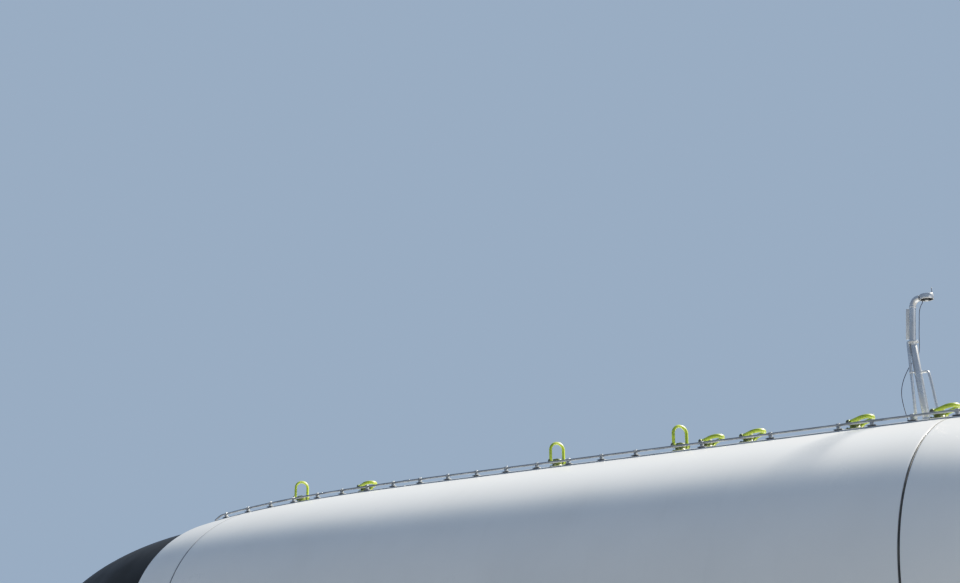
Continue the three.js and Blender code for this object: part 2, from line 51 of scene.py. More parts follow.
Colour = tuple[float, float, float]
Station = tuple[float, float]
Size = tuple[float, ...]
Piece = bpy.types.Object
Socket = bpy.types.NodeSocket
Test = Callable[[object], bool]
UP = Vector((0.0, 0.0, 1.0))
REARWARD = Vector((1.0, 0.0, 0.0))


class Slot(Enum):
    """The record's material slots."""

    SHELL = "shell"
    COVER = "cover"
    SEAL = "seal"
    CAST = "cast_yaw"
    STEEL = "rail_steel"
    TRACK = "rail_track"
    LIME = "lifting_lime"
    SENSOR = "sensor"
    LEAD = "lead"


class Side(Enum):
    """The two sides of the roof, with the sign of their Y."""

    NEAR = -1
    FAR = 1

    @property
    def label(self) -> str:
        """The side's name in the names of pieces."""
        return self.name.lower()


class Pick(Enum):
    """What an edit-mode selection is made of."""

    VERTS = "VERT"
    EDGES = "EDGE"
    FACES = "FACE"


# Node groups and finishes


class Desk:
    """Adds nodes to the node tree of a material, world or group, and joins them."""

    def __init__(self, tree: bpy.types.NodeTree) -> None:
        """Starts on a tree."""
        self.tree = tree

    def feed(self, target: Socket, value: object) -> None:
        """Links a socket to an input, or sets the input to a value."""
        if isinstance(value, Socket):
            self.tree.links.new(value, target)
        else:
            target.default_value = value

    def add(self, kind: str, **values: object) -> bpy.types.Node:
        """Adds a node, then sets its properties and feeds its inputs.

        Args:
            kind: The node's Blender type, after its ShaderNode.
            values: Properties by attribute name, or inputs by name with spaces as underscores.

        Returns:
            The new node.
        """
        node = self.tree.nodes.new("ShaderNode" + kind)
        for key, value in values.items():
            if hasattr(node, key):
                setattr(node, key, value)
            else:
                self.feed(node.inputs[key.replace("_", " ")], value)
        return node

    def where(self) -> Socket:
        """The object's own coordinates."""
        return self.add("TexCoord").outputs["Object"]

    def math(self, operation: str, *terms: object) -> Socket:
        """Adds a Math node on up to three numbers or sockets."""
        node = self.add("Math", operation=operation)
        for place, term in zip(node.inputs, terms):
            self.feed(place, term)
        return node.outputs[0]

    def product(self, *terms: Socket) -> Socket:
        """Multiplies sockets."""
        result = terms[0]
        for term in terms[1:]:
            result = self.math("MULTIPLY", result, term)
        return result

    def noise(self, where: Socket, scale: object, detail: float) -> Socket:
        """Adds a noise texture, with its scale as a number or a socket and its octaves."""
        return self.add("TexNoise", Vector=where, Scale=scale, Detail=detail).outputs["Fac"]

    def ramp(self, value: Socket, low: float, high: float) -> Socket:
        """Maps a value from a range onto 0 to 1 with soft ends."""
        node = self.add("MapRange", Value=value, From_Min=low, From_Max=high)
        node.interpolation_type = "SMOOTHSTEP"
        return node.outputs[0]

    def span(self, value: Socket, low: float, high: float) -> Socket:
        """Maps 0 to 1 onto a range."""
        return self.add("MapRange", Value=value, To_Min=low, To_Max=high).outputs[0]

    def blend(self, mask: Socket, below: object, above: object) -> Socket:
        """Mixes two colours or sockets by a mask, which is 0 for the first and 1 for the second."""
        node = self.add("Mix", data_type="RGBA")
        for index, value in ((0, mask), (6, below), (7, above)):
            self.feed(node.inputs[index], (*value, 1.0) if isinstance(value, tuple) else value)
        return node.outputs[2]


def settled_dust(desk: Desk, scale: Socket, amount: Socket) -> list[Socket]:
    """Dust that lies thicker on faces that look up, in soft patches."""
    patches = desk.ramp(desk.noise(desk.where(), scale, 6.0), 0.35, 0.75)
    normal = desk.add("SeparateXYZ", Vector=desk.add("NewGeometry").outputs["Normal"])
    upward = desk.span(desk.ramp(normal.outputs["Z"], -0.2, 1.0), 0.25, 1.0)
    return [desk.product(patches, upward, amount)]


def rain_streaks(desk: Desk, scale: Socket, amount: Socket) -> list[Socket]:
    """Faint dirt in lines that run down steep faces."""
    drawn = desk.add("Mapping", Vector=desk.where(), Scale=(1.0, 0.12, 0.12)).outputs[0]
    lines = desk.ramp(desk.noise(drawn, scale, 5.0), 0.52, 0.8)
    breaks = desk.ramp(desk.noise(desk.where(), 0.9, 3.0), 0.4, 0.75)
    return [desk.product(lines, breaks, amount)]


def rubbed_edges(desk: Desk, scale: Socket, amount: Socket) -> list[Socket]:
    """Wear on sharp edges, broken up by fine noise."""
    sharp = desk.ramp(desk.add("NewGeometry").outputs["Pointiness"], 0.515, 0.6)
    chips = desk.ramp(desk.noise(desk.where(), scale, 8.0), 0.4, 0.62)
    return [desk.product(sharp, chips, amount)]


def surface_grain(desk: Desk, wave: Socket, grain: Socket, share: Socket) -> list[Socket]:
    """Broad waves with fine grain over them, as a height and as a soft tone."""
    where = desk.where()
    broad, fine = desk.noise(where, wave, 2.0), desk.noise(where, grain, 6.0)
    height = desk.math("ADD", broad, desk.product(fine, share))
    return [height, desk.math("MULTIPLY_ADD", fine, 0.35, desk.math("MULTIPLY", broad, 0.65))]


@dataclass(frozen=True)
class Effect:
    """A shared shader node group, which several finishes use."""

    wire: Callable[..., list[Socket]]
    inputs: tuple[str, ...] = ("Scale", "Amount")
    outputs: tuple[str, ...] = ("Mask",)

    def tree(self) -> bpy.types.NodeTree:
        """Builds the group, or returns it if it is there already."""
        name = self.wire.__name__
        known = bpy.data.node_groups.get(name)
        if known is not None:
            return known
        tree = bpy.data.node_groups.new(name, "ShaderNodeTree")
        for way, labels in (("INPUT", self.inputs), ("OUTPUT", self.outputs)):
            for label in labels:
                tree.interface.new_socket(label, in_out=way, socket_type="NodeSocketFloat")
        source, sink = tree.nodes.new("NodeGroupInput"), tree.nodes.new("NodeGroupOutput")
        desk = Desk(tree)
        for place, result in zip(sink.inputs, self.wire(desk, *source.outputs[: len(self.inputs)])):
            desk.feed(place, result)
        return tree


DUST = Effect(settled_dust)
STREAKS = Effect(rain_streaks)
WEAR = Effect(rubbed_edges)
GRAIN = Effect(surface_grain, ("Wave", "Grain", "Share"), ("Height", "Tone"))


@dataclass(frozen=True)
class Finish:
    """A surface finish: two tones, gloss, dust, streaks, edge wear and grain.

    Dust, streaks and wear are each a scale and an amount, and the bump is a strength and a depth.
    """

    name: str
    slot: Slot
    base: Colour
    tone: Colour
    roughness: Size
    metallic: float = 0.0
    specular: float = 0.5
    coat: float = 0.0
    coat_roughness: float = 0.12
    dust: Size = (3.0, 0.0)
    dust_colour: Colour = (0.42, 0.39, 0.34)
    dust_dulling: float = 0.35
    streaks: Size = (9.0, 0.0)
    streak_colour: Colour = (0.30, 0.30, 0.29)
    streak_dulling: float = 0.2
    wear: Size = (40.0, 0.0)
    wear_colour: Colour = (0.35, 0.35, 0.34)
    wear_metallic: float = 0.0
    wave: float = 1.2
    grain: float = 90.0
    grain_share: float = 0.25
    bump: Size = (0.1, 0.002)

    def material(self) -> bpy.types.Material:
        """Builds the material, or returns it if it is there already."""
        known = bpy.data.materials.get(self.name)
        if known is not None:
            return known
        material = bpy.data.materials.new(self.name)
        material.use_nodes = True
        desk = Desk(material.node_tree)
        sizes = {"Wave": self.wave, "Grain": self.grain, "Share": self.grain_share}
        grain = desk.add("Group", node_tree=GRAIN.tree(), **sizes)
        tone = desk.ramp(grain.outputs["Tone"], 0.35, 0.65)
        colour, rough = desk.blend(tone, self.base, self.tone), desk.span(tone, *self.roughness)
        metallic = self.metallic
        for effect, (scale, amount), tint, dulling in (
            (STREAKS, self.streaks, self.streak_colour, self.streak_dulling),
            (DUST, self.dust, self.dust_colour, self.dust_dulling),
            (WEAR, self.wear, self.wear_colour, 0.0),
        ):
            if amount == 0.0:
                continue
            mask = desk.add("Group", node_tree=effect.tree(), Scale=scale, Amount=amount).outputs["Mask"]
            colour = desk.blend(mask, colour, tint)
            if effect is WEAR:
                metallic = desk.span(mask, self.metallic, self.wear_metallic)
            else:
                rough = desk.math("MULTIPLY_ADD", mask, dulling, rough)
        strength, depth = self.bump
        bump = desk.add("Bump", Strength=strength, Distance=depth, Height=grain.outputs["Height"])
        for label, value in {
            "Base Color": colour,
            "Roughness": rough,
            "Metallic": metallic,
            "Specular IOR Level": self.specular,
            "Coat Weight": self.coat,
            "Coat Roughness": self.coat_roughness,
            "Normal": bump.outputs["Normal"],
        }.items():
            desk.feed(desk.tree.nodes["Principled BSDF"].inputs[label], value)
        return material


SHELL = Finish(
    "shell_gelcoat", Slot.SHELL, (0.80, 0.815, 0.83), (0.765, 0.785, 0.805), (0.27, 0.36), coat=0.35,
    dust=(1.7, 0.13), dust_colour=(0.60, 0.58, 0.54), streaks=(7.0, 0.16), streak_colour=(0.52, 0.53, 0.52),
    wave=0.8, grain=140.0, grain_share=0.03, bump=(0.08, 0.006),
)
COVER = Finish(
    "black_cover_coat", Slot.COVER, (0.008, 0.0085, 0.009), (0.014, 0.0145, 0.015), (0.36, 0.5),
    specular=0.22, dust=(2.6, 0.10), dust_colour=(0.075, 0.075, 0.074), streaks=(8.0, 0.2),
    streak_colour=(0.035, 0.035, 0.035), wave=1.6, grain=260.0, grain_share=0.12, bump=(0.18, 0.004),
)
SEAL = Finish(
    "seam_seal_rubber", Slot.SEAL, (0.028, 0.031, 0.035), (0.045, 0.048, 0.052), (0.65, 0.85),
    dust=(6.0, 0.35), wave=8.0, grain=400.0, bump=(0.25, 0.001),
)
# A lighter grey copy of the seal rubber, used for the front seam.
LIGHT_SEAL = replace(SEAL, name="light_grey_seal_rubber", base=(0.150, 0.165, 0.190), tone=(0.190, 0.205, 0.230))
CAST = Finish(
    "yaw_casting_paint", Slot.CAST, (0.33, 0.35, 0.365), (0.27, 0.29, 0.305), (0.4, 0.6),
    dust=(4.0, 0.35), wear=(26.0, 0.7), wear_colour=(0.42, 0.41, 0.40), wear_metallic=0.8,
    wave=5.0, grain=220.0, grain_share=0.6, bump=(0.3, 0.0015),
)
ZINC = Finish(
    "bolt_zinc", Slot.CAST, (0.50, 0.51, 0.52), (0.38, 0.39, 0.40), (0.3, 0.5), metallic=1.0,
    dust=(9.0, 0.25), wave=20.0, grain=300.0, bump=(0.2, 0.0006),
)
STEEL = Finish(
    "rail_stainless", Slot.STEEL, (0.42, 0.435, 0.45), (0.31, 0.325, 0.345), (0.38, 0.56), metallic=1.0,
    dust=(7.0, 0.12), dust_colour=(0.45, 0.44, 0.41), wave=6.0, grain=420.0, grain_share=0.5,
    bump=(0.12, 0.0006),
)
MAST = replace(
    STEEL, name="mast_bright_steel", base=(0.74, 0.745, 0.75), tone=(0.58, 0.585, 0.595),
    roughness=(0.22, 0.36), metallic=0.9, dust=(8.0, 0.10),
)
# A pale, mostly non-metallic plate finish. On the mast's side plate its lightness is a painted reflection of
# bright surroundings; it also gives the wind sensor's face its light colour.
PALE_PLATE = replace(
    STEEL, name="pale_plate_paint_and_painted_reflection", base=(0.66, 0.67, 0.68), tone=(0.55, 0.56, 0.575),
    roughness=(0.4, 0.58), metallic=0.25, dust=(9.0, 0.14), wave=7.0, grain=380.0,
)
BAR = Finish(
    "rail_bar_dull_steel", Slot.TRACK, (0.56, 0.57, 0.58), (0.42, 0.43, 0.44), (0.42, 0.6), metallic=0.3,
    dust=(6.0, 0.3), dust_colour=(0.38, 0.37, 0.34), wave=9.0, grain=350.0, grain_share=0.6,
    bump=(0.2, 0.0008),
)
TRACK = replace(
    BAR, name="rail_bar_weathered", base=(0.115, 0.125, 0.135), tone=(0.19, 0.20, 0.21),
    roughness=(0.42, 0.62), metallic=0.75, dust_colour=(0.30, 0.29, 0.27), wear=(60.0, 0.6),
    wear_colour=(0.5, 0.5, 0.49), wear_metallic=1.0,
)
LIME = Finish(
    "lifting_lime_coat", Slot.LIME, (0.45, 0.57, 0.030), (0.33, 0.43, 0.020), (0.32, 0.48), coat=0.2,
    dust=(14.0, 0.22), dust_colour=(0.30, 0.31, 0.17), wear=(70.0, 0.85), wear_colour=(0.14, 0.15, 0.12),
    wear_metallic=0.6, wave=12.0, grain=330.0, grain_share=0.5, bump=(0.25, 0.0008),
)
# Painted shade: the lime coat darkened to dark olive for the lifting bases, standing in for the shade on
# their faces.
SHADED_LIME = replace(LIME, name="lifting_lime_painted_shade", base=(0.165, 0.195, 0.030), tone=(0.100, 0.120, 0.024))
PIN = Finish(
    "lifting_pin_steel", Slot.LIME, (0.075, 0.082, 0.085), (0.14, 0.15, 0.15), (0.32, 0.5), metallic=0.9,
    wear=(60.0, 0.5), wear_colour=(0.45, 0.45, 0.43), wear_metallic=1.0,
    wave=15.0, grain=380.0, bump=(0.2, 0.0006),
)
# Dark plastic for the sensor and the gland; the same finish lines the sensor cup as painted shade.
SENSOR = Finish(
    "dark_sensor_plastic_and_painted_shade", Slot.SENSOR, (0.05, 0.052, 0.056), (0.075, 0.078, 0.082), (0.38, 0.52),
    dust=(20.0, 0.2), wave=14.0, grain=600.0, bump=(0.15, 0.0004),
)
LEAD = Finish(
    "lead_sheath_rubber", Slot.LEAD, (0.045, 0.047, 0.052), (0.07, 0.072, 0.078), (0.5, 0.7),
    dust=(18.0, 0.3), wave=20.0, grain=500.0, bump=(0.2, 0.0004),
)


# Modelling moves


def clear() -> None:
    """Leaves edit mode and selects nothing."""
    if bpy.context.mode != "OBJECT":
        bpy.ops.object.mode_set(mode="OBJECT")
    bpy.ops.object.select_all(action="DESELECT")


def take(piece: Piece) -> Piece:
    """Selects one piece and makes it active."""
    clear()
    piece.select_set(True)
    bpy.context.view_layer.objects.active = piece
    return piece


def added() -> Piece:
    """The piece just added, with its place, turn and size put into its mesh."""
    piece = take(bpy.context.active_object)
    bpy.ops.object.transform_apply(location=True, rotation=True, scale=True)
    return piece


def everything(element: object) -> bool:
    """Picks every element."""
    return True


def pick(kind: Pick, test: Test) -> None:
    """Selects, in edit mode, the elements that pass a test."""
    bpy.ops.mesh.select_mode(type=kind.value)
    bpy.ops.mesh.select_all(action="DESELECT")
    data = bpy.context.edit_object.data
    mesh = bmesh.from_edit_mesh(data)
    for element in getattr(mesh, f"{kind.value.lower()}s"):
        if test(element):
            element.select_set(True)
    mesh.select_flush_mode()
    bmesh.update_edit_mesh(data)


def edit(piece: Piece, kind: Pick, test: Test = everything) -> None:
    """Enters edit mode and selects the elements of one kind that pass a test."""
    take(piece)
    bpy.ops.object.mode_set(mode="EDIT")
    pick(kind, test)


def runs_along(axis: int, least: float) -> Test:
    """A test for edges that run more than a length along an axis."""
    return lambda edge: abs((edge.verts[0].co - edge.verts[1].co)[axis]) > least


def clean(piece: Piece, gap: float = 1e-5) -> Piece:
    """Merges doubles and turns the faces outwards."""
    edit(piece, Pick.VERTS)
    bpy.ops.mesh.remove_doubles(threshold=gap)
    bpy.ops.mesh.normals_make_consistent(inside=False)
    bpy.ops.object.mode_set(mode="OBJECT")
    return piece


def climb(rings: Sequence[Station], axis: int, centre: Vector) -> None:
    """Extrudes the selected ring, in edit mode, from ring to ring along an axis.

    Args:
        rings: Each ring's size and its place along the axis, from the selected ring on.
        axis: 0 for X and 2 for Z.
        centre: A point on the line that the rings are sized about.
    """
    for (size, place), (next_size, next_place) in zip(rings, rings[1:]):
        move, growth, middle = [0.0] * 3, [next_size / size] * 3, list(centre)
        move[axis], growth[axis], middle[axis] = next_place - place, 1.0, next_place
        bpy.ops.mesh.extrude_region_move(TRANSFORM_OT_translate={"value": move})
        bpy.ops.transform.resize(value=growth, center_override=middle, orient_type="GLOBAL")


def modify(piece: Piece, kind: str, **values: object) -> Piece:
    """Adds a modifier with its values and applies it."""
    step = piece.modifiers.new("step", kind)
    for key, value in values.items():
        setattr(step, key, value)
    take(piece)
    bpy.ops.object.modifier_apply(modifier=step.name)
    return piece


def combine(piece: Piece, tool: Piece, operation: str) -> None:
    """Adds a tool to a piece, or cuts it out, and drops the tool."""
    modify(piece, "BOOLEAN", operation=operation, solver="EXACT", object=tool)
    bpy.data.objects.remove(tool)


def rounded(piece: Piece, width: float, angle: float = 40.0) -> Piece:
    """Rounds the edges whose faces meet at more than an angle in degrees."""
    limit = math.radians(angle)
    ways = {"segments": 2, "limit_method": "ANGLE", "use_clamp_overlap": True}
    return modify(piece, "BEVEL", width=width, angle_limit=limit, **ways)


def cuboid(centre: Sequence[float], size: Sequence[float]) -> Piece:
    """Makes a block with sharp edges, from its centre and its full size."""
    clear()
    bpy.ops.mesh.primitive_cube_add(size=1.0, location=centre, scale=size)
    return added()


def block(centre: Sequence[float], size: Sequence[float], round_edge: float) -> Piece:
    """Makes a block with rounded edges, from its centre and its full size."""
    return rounded(cuboid(centre, size), round_edge)


def corners(piece: Piece, axis: int, least: float, width: float, segments: int) -> Piece:
    """Rounds the edges of a piece that run along an axis.

    Args:
        piece: The piece.
        axis: 0 for X, 1 for Y and 2 for Z.
        least: The length that such an edge is over.
        width: The bevel's width.
        segments: The number of steps across it.

    Returns:
        The piece.
    """
    edit(piece, Pick.EDGES, runs_along(axis, least))
    bpy.ops.mesh.bevel(offset=width, segments=segments, affect="EDGES")
    bpy.ops.object.mode_set(mode="OBJECT")
    return piece


def rod(start: Vector, end: Vector, radius: float, round_edge: float, sides: int = 32) -> Piece:
    """Makes a straight round bar between two points, with rounded rims.

    Args:
        start: The centre of one end.
        end: The centre of the other end.
        radius: The bar's radius.
        round_edge: The bevel on its two rims.
        sides: The number of sides.

    Returns:
        The bar.
    """
    clear()
    along = end - start
    turn = along.to_track_quat("Z", "Y").to_euler()
    bpy.ops.mesh.primitive_cylinder_add(
        vertices=sides, radius=radius, depth=along.length, location=(start + end) / 2, rotation=turn
    )
    return rounded(added(), round_edge, 60.0)


def bar(middle: Vector, reach: Vector, radius: float, round_edge: float, sides: int) -> Piece:
    """Makes a rod that reaches the same way out from both sides of its middle."""
    return rod(middle - reach, middle + reach, radius, round_edge, sides)


def tube(points: Sequence[Vector], radius: float, smooth: int = 5) -> Piece:
    """Makes a round bar along a line of points.

    Args:
        points: The points that its centre passes through.
        radius: The bar's radius.
        smooth: The curve's bevel resolution.

    Returns:
        The bar as a mesh.
    """
    clear()
    curve = bpy.data.curves.new("bar_path", "CURVE")
    curve.dimensions = "3D"
    curve.bevel_depth = radius
    curve.bevel_resolution = smooth
    curve.use_fill_caps = True
    spline = curve.splines.new("POLY")
    spline.points.add(len(points) - 1)
    for place, point in zip(spline.points, points):
        place.co = (*point, 1.0)
    piece = bpy.data.objects.new("bar_path", curve)
    bpy.context.scene.collection.objects.link(piece)
    take(piece)
    bpy.ops.object.convert(target="MESH")
    return clean(bpy.context.active_object)


def lathe(profile: Sequence[Station], sides: int) -> Piece:
    """Spins a profile of [radius, z] points about the Z axis.

    Args:
        profile: The points, from one end to the other.
        sides: The number of steps round.

    Returns:
        The closed body.
    """
    clear()
    bpy.ops.mesh.primitive_plane_add(size=1.0)
    piece = bpy.context.active_object
    edit(piece, Pick.VERTS)
    bpy.ops.mesh.merge(type="CENTER")
    pick(Pick.VERTS, everything)
    bpy.ops.transform.translate(value=(profile[0][0], 0.0, profile[0][1]))
    for (radius, height), (next_radius, next_height) in zip(profile, profile[1:]):
        move = (next_radius - radius, 0.0, next_height - height)
        bpy.ops.mesh.extrude_region_move(TRANSFORM_OT_translate={"value": move})
    bpy.ops.mesh.select_all(action="SELECT")
    bpy.ops.mesh.spin(steps=sides, angle=math.tau, center=(0.0, 0.0, 0.0), axis=UP)
    bpy.ops.object.mode_set(mode="OBJECT")
    return clean(piece)


def moved(piece: Piece, place: Vector) -> Piece:
    """Moves a piece's mesh."""
    piece.data.transform(Matrix.Translation(place))
    return piece


def joined(pieces: Sequence[Piece]) -> Piece:
    """Joins several pieces into the first one."""
    clear()
    for piece in pieces:
        piece.select_set(True)
    bpy.context.view_layer.objects.active = pieces[0]
    bpy.ops.object.join()
    return pieces[0]


def copies(master: Piece, places: Sequence[Matrix]) -> Piece:
    """Copies a piece modelled at the origin to several places, and joins the copies."""
    made = []
    for place in places:
        twin = bpy.data.objects.new("copy", master.data.copy())
        twin.data.transform(place)
        bpy.context.scene.collection.objects.link(twin)
        made.append(twin)
    bpy.data.objects.remove(master)
    return joined(made)


def bolt(across: float, height: float) -> Piece:
    """Makes a hexagon bolt head on a washer, with its width across corners and its height."""
    seat = UP * (height * 0.22)
    washer = rod(Vector(), seat, across * 0.64, height * 0.05, 14)
    return joined([washer, rod(seat, UP * (height * 1.1), across * 0.5, height * 0.1, 6)])


def bolts(across: float, height: float, spots: Sequence[Sequence[float]]) -> list[Piece]:
    """Makes a bolt head on each spot."""
    return [moved(bolt(across, height), Vector(spot)) for spot in spots]


@dataclass(frozen=True)
class Path:
    """A smooth line through points, with evenly eased spans."""

    points: tuple[Vector, ...]
    least_gap: float = 1e-4

    def at(self, index: int, share: float) -> Vector:
        """A point on the span from one given point to the next.

        Args:
            index: The span's first point.
            share: How far along the span, from 0 to 1.

        Returns:
            The point.
        """
        points = self.points
        first, second = points[index], points[index + 1]
        before = points[index - 1] if index > 0 else first * 2 - second
        after = points[index + 2] if index + 2 < len(points) else second * 2 - first
        spans = ((before, first), (first, second), (second, after))
        lead, gap, tail = (math.sqrt((end - start).length) for start, end in spans)
        lead, tail = (root if root > self.least_gap else gap for root in (lead, tail))
        leave = (first - before) / lead - (second - before) / (lead + gap) + (second - first) / gap
        arrive = (second - first) / gap - (after - first) / (gap + tail) + (after - second) / tail
        square, cube = share * share, share ** 3
        return (
            first * (2 * cube - 3 * square + 1)
            + leave * gap * (cube - 2 * square + share)
            + second * (3 * square - 2 * cube)
            + arrive * gap * (cube - square)
        )

    def sampled(self, spacing: float) -> list[Vector]:
        """Points along the line at about a spacing in metres, with both ends."""
        made = []
        for index, (first, second) in enumerate(zip(self.points, self.points[1:])):
            steps = max(1, round((second - first).length / spacing))
            made += [self.at(index, step / steps) for step in range(steps)]
        return [*made, self.points[-1].copy()]


def dress(
    piece: Piece,
    label: str,
    finish: Finish,
    nodes: Sequence[str] = (),
    body: str = "root",
    smooth: float = 35.0,
) -> None:
    """Names and finishes a piece, parents it to the body that it rides on, and hides the CAD nodes that it
    stands for.

    Args:
        piece: The finished mesh.
        label: Its name.
        finish: Its finish.
        nodes: The CAD nodes that it stands for.
        body: The body that it rides on.
        smooth: Edges flatter than this many degrees are shaded smooth.
    """
    piece.name = piece.data.name = label
    take(piece)
    bpy.ops.object.shade_smooth_by_angle(angle=math.radians(smooth))
    piece.data.materials.clear()
    piece.data.materials.append(finish.material())
    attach(piece, body)
    if nodes:
        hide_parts(*nodes)
    LOG.info("%s: %d faces on %s", label, len(piece.data.polygons), body)


# The housing's shape


@dataclass(frozen=True)
class Section:
    """The housing's section and how its size changes along X."""

    half_width: float = 2.1
    crown: float = 1.72
    belly: float = 1.95
    crown_power: float = 2.0
    belly_power: float = 2.3
    waist: float = 2.4
    front_shoulder: Size = (0.0, 7.275, 3.11)
    rear_shoulder: Size = (5.7, 3.0, 2.6)
    slope_step: float = 0.05

    def scale(self, x: float) -> float:
        """The section's size at a station, as a share of the full section."""
        sizes = []
        for way, (start, length, power) in ((-1, self.front_shoulder), (1, self.rear_shoulder)):
            share = min(max(way * (x - start) / length, 0.0), 1.0)
            sizes.append((1 - share ** power) ** (1 / power))
        return min(sizes)

    def rise(self, x: float, y: float, power: float) -> float:
        """The surface's share of its full height over or under a point."""
        size = self.scale(x)
        share = min(abs(y) / (self.half_width * size), 1.0)
        return size * (1 - share ** power) ** (1 / power)

    def roof(self, x: float, y: float) -> float:
        """The height of the roof's surface over a point."""
        return self.waist + self.crown * self.rise(x, y, self.crown_power)

    def under(self, x: float, y: float) -> float:
        """The height of the belly's surface under a point."""
        return self.waist - self.belly * self.rise(x, y, self.belly_power)

    def point(self, angle: float, size: float, x: float) -> Vector:
        """A point on the section.

        Args:
            angle: The turn from the +Y side, going up.
            size: The share of the full section.
            x: The station.

        Returns:
            The point.
        """
        side, rise = math.cos(angle), math.sin(angle)
        power = self.crown_power if rise >= 0 else self.belly_power
        reach = self.crown if rise >= 0 else self.belly
        y = self.half_width * math.copysign(abs(side) ** (2 / power), side)
        z = reach * math.copysign(abs(rise) ** (2 / power), rise)
        return Vector((x, y * size, self.waist + z * size))

    def slope(self, x: float, y: float) -> float:
        """The roof's fall along X, as an angle about Y in radians."""
        step = self.slope_step
        return math.atan2(self.roof(x - step, y) - self.roof(x + step, y), 2 * step)


SECTION = Section()


def spread(start: float, end: float, count: int) -> list[float]:
    """Evenly spaced numbers from start to end, with both ends."""
    return [start + (end - start) * step / count for step in range(count + 1)]


@dataclass
class Housing:
    """The three housing sections, their seals, and the covers over the two ends.

    The seal's profile is a share of its half width and a height over the housing at each point.
    """

    segments: int = 176
    front_rim: float = -4.840
    front_seam: float = -3.990
    rear_seam: float = 6.070
    rear_rim: float = 8.100
    rim_wall: float = 0.035
    rim_round: float = 0.016
    rim_fullness: float = 0.7
    recess: float = 0.120
    seam_width: float = 0.020
    lip: float = 0.005
    lip_width: float = 0.014
    mean_radius: float = 1.9
    rim_inset: float = 0.060
    seam_inset: float = 0.120
    seam_runs: Size = (0.050, 0.030)
    straight: float = 0.400
    straight_end: float = 0.500
    slack: float = 0.0004
    seal: tuple[Station, ...] = (
        (-1.0, -0.02), (-1.0, -0.0025), (-0.75, -0.0006), (-0.4, 0.00084), (0.0, 0.0014),
        (0.4, 0.00084), (0.75, -0.0006), (1.0, -0.0025), (1.0, -0.02),
    )
    nose_length: float = 4.000
    nose_power: float = 1.72
    nose_lip: float = 0.030
    nose_steps: int = 40
    tip: float = 0.3
    cover_gap: float = 0.006
    tail_edge: float = 0.030
    tail_lip: tuple[Station, ...] = ((0.0, -0.006), (-0.0008, -0.002))
    tail_round: float = 0.003
    tail_bulge: float = 0.160
    tail_steps: int = 24
    screws: int = 44
    screw: Size = (0.026, 0.010)
    screw_share: float = 0.09
    screw_tilt: float = 0.16
    screw_sink: float = 0.002

    def loft(self, stations: Sequence[Station], pole: bool = False) -> Piece:
        """Extrudes the section through [size, x] stations and closes both ends.

        Args:
            stations: The section's size at each X, in order.
            pole: Whether the last ring closes to a point.

        Returns:
            The closed body.
        """
        clear()
        bpy.ops.mesh.primitive_circle_add(vertices=self.segments, radius=1.0, fill_type="NOTHING")
        piece = bpy.context.active_object
        for index, vertex in enumerate(piece.data.vertices):
            vertex.co = SECTION.point(math.tau * index / self.segments, *stations[0])
        edit(piece, Pick.VERTS)
        climb(stations, 0, Vector((0.0, 0.0, SECTION.waist)))
        if pole:
            bpy.ops.mesh.merge(type="CENTER")
        else:
            bpy.ops.mesh.edge_face_add()
        pick(Pick.EDGES, lambda edge: edge.is_boundary)
        bpy.ops.mesh.edge_face_add()
        bpy.ops.object.mode_set(mode="OBJECT")
        return clean(piece)

    def rolled(self, x: float, way: int) -> list[Station]:
        """Stations that round an edge of the housing at a seam, in order along X.

        Args:
            x: The edge's place.
            way: 1 where the section ends there going +X, and -1 where it starts there.

        Returns:
            The stations.
        """
        made = []
        for turn in spread(0.0, math.pi / 2, 4):
            place = x - way * self.lip_width * (1 - math.sin(turn))
            made.append((SECTION.scale(place) - self.lip * (1 - math.cos(turn)) / self.mean_radius, place))
        return made[::way]

    def rim(self, x: float, way: int) -> list[Station]:
        """Stations over the rounded rim, from its inner wall to its outer face.

        Args:
            x: The rim's place.
            way: -1 at the rotor end, 1 at the rear.

        Returns:
            The stations.
        """
        outer = SECTION.scale(x - way * self.rim_round)
        inner = SECTION.scale(x) - self.rim_wall
        made = [(inner, x - way * self.recess)]
        for turn in spread(0.0, math.pi, 8):
            size = (inner + outer) / 2 - (outer - inner) / 2 * math.cos(turn)
            made.append((size, x - way * self.rim_round * (1 - math.sin(turn) ** self.rim_fullness)))
        return made

    def outline(self, start: float, end: float, count: int) -> list[Station]:
        """The housing's own size at evenly spaced places."""
        return [(SECTION.scale(x), x) for x in spread(start, end, count)]

    def sections(self) -> None:
        """Builds the three sections."""
        half, (before_front, before_rear) = self.seam_width / 2, self.seam_runs
        sections = {
            "front": [
                *self.rim(self.front_rim, -1),
                *self.outline(self.front_rim + self.rim_inset, self.front_seam - half - before_front, 10),
                *self.rolled(self.front_seam - half, 1),
            ],
            "middle": [
                *self.rolled(self.front_seam + half, -1),
                *self.outline(self.front_seam + self.seam_inset, -self.straight, 18),
                *self.outline(self.straight, self.rear_seam - self.straight_end, 9),
                *self.outline(self.rear_seam - self.straight, self.rear_seam - half - before_rear, 5),
                *self.rolled(self.rear_seam - half, 1),
            ],
            "rear": [
                *self.rolled(self.rear_seam + half, -1),
                *self.outline(self.rear_seam + self.seam_inset, self.rear_rim - self.rim_inset, 18),
                *self.rim(self.rear_rim, 1)[::-1],
            ],
        }
        for label, stations in sections.items():
            dress(self.loft(stations), f"{label}_shell", SHELL, [f"{label}_section"])

    def seals(self) -> None:
        """Builds the rubber seal in each seam, with its middle just proud of the housing."""
        half = self.seam_width / 2 - self.slack
        for label, seam, finish in (("front", self.front_seam, LIGHT_SEAL), ("rear", self.rear_seam, SEAL)):
            stations = [(SECTION.scale(seam) + rise, seam + half * share) for share, rise in self.seal]
            dress(self.loft(stations), f"{label}_seal", finish, [f"{label}_seam_seal"])

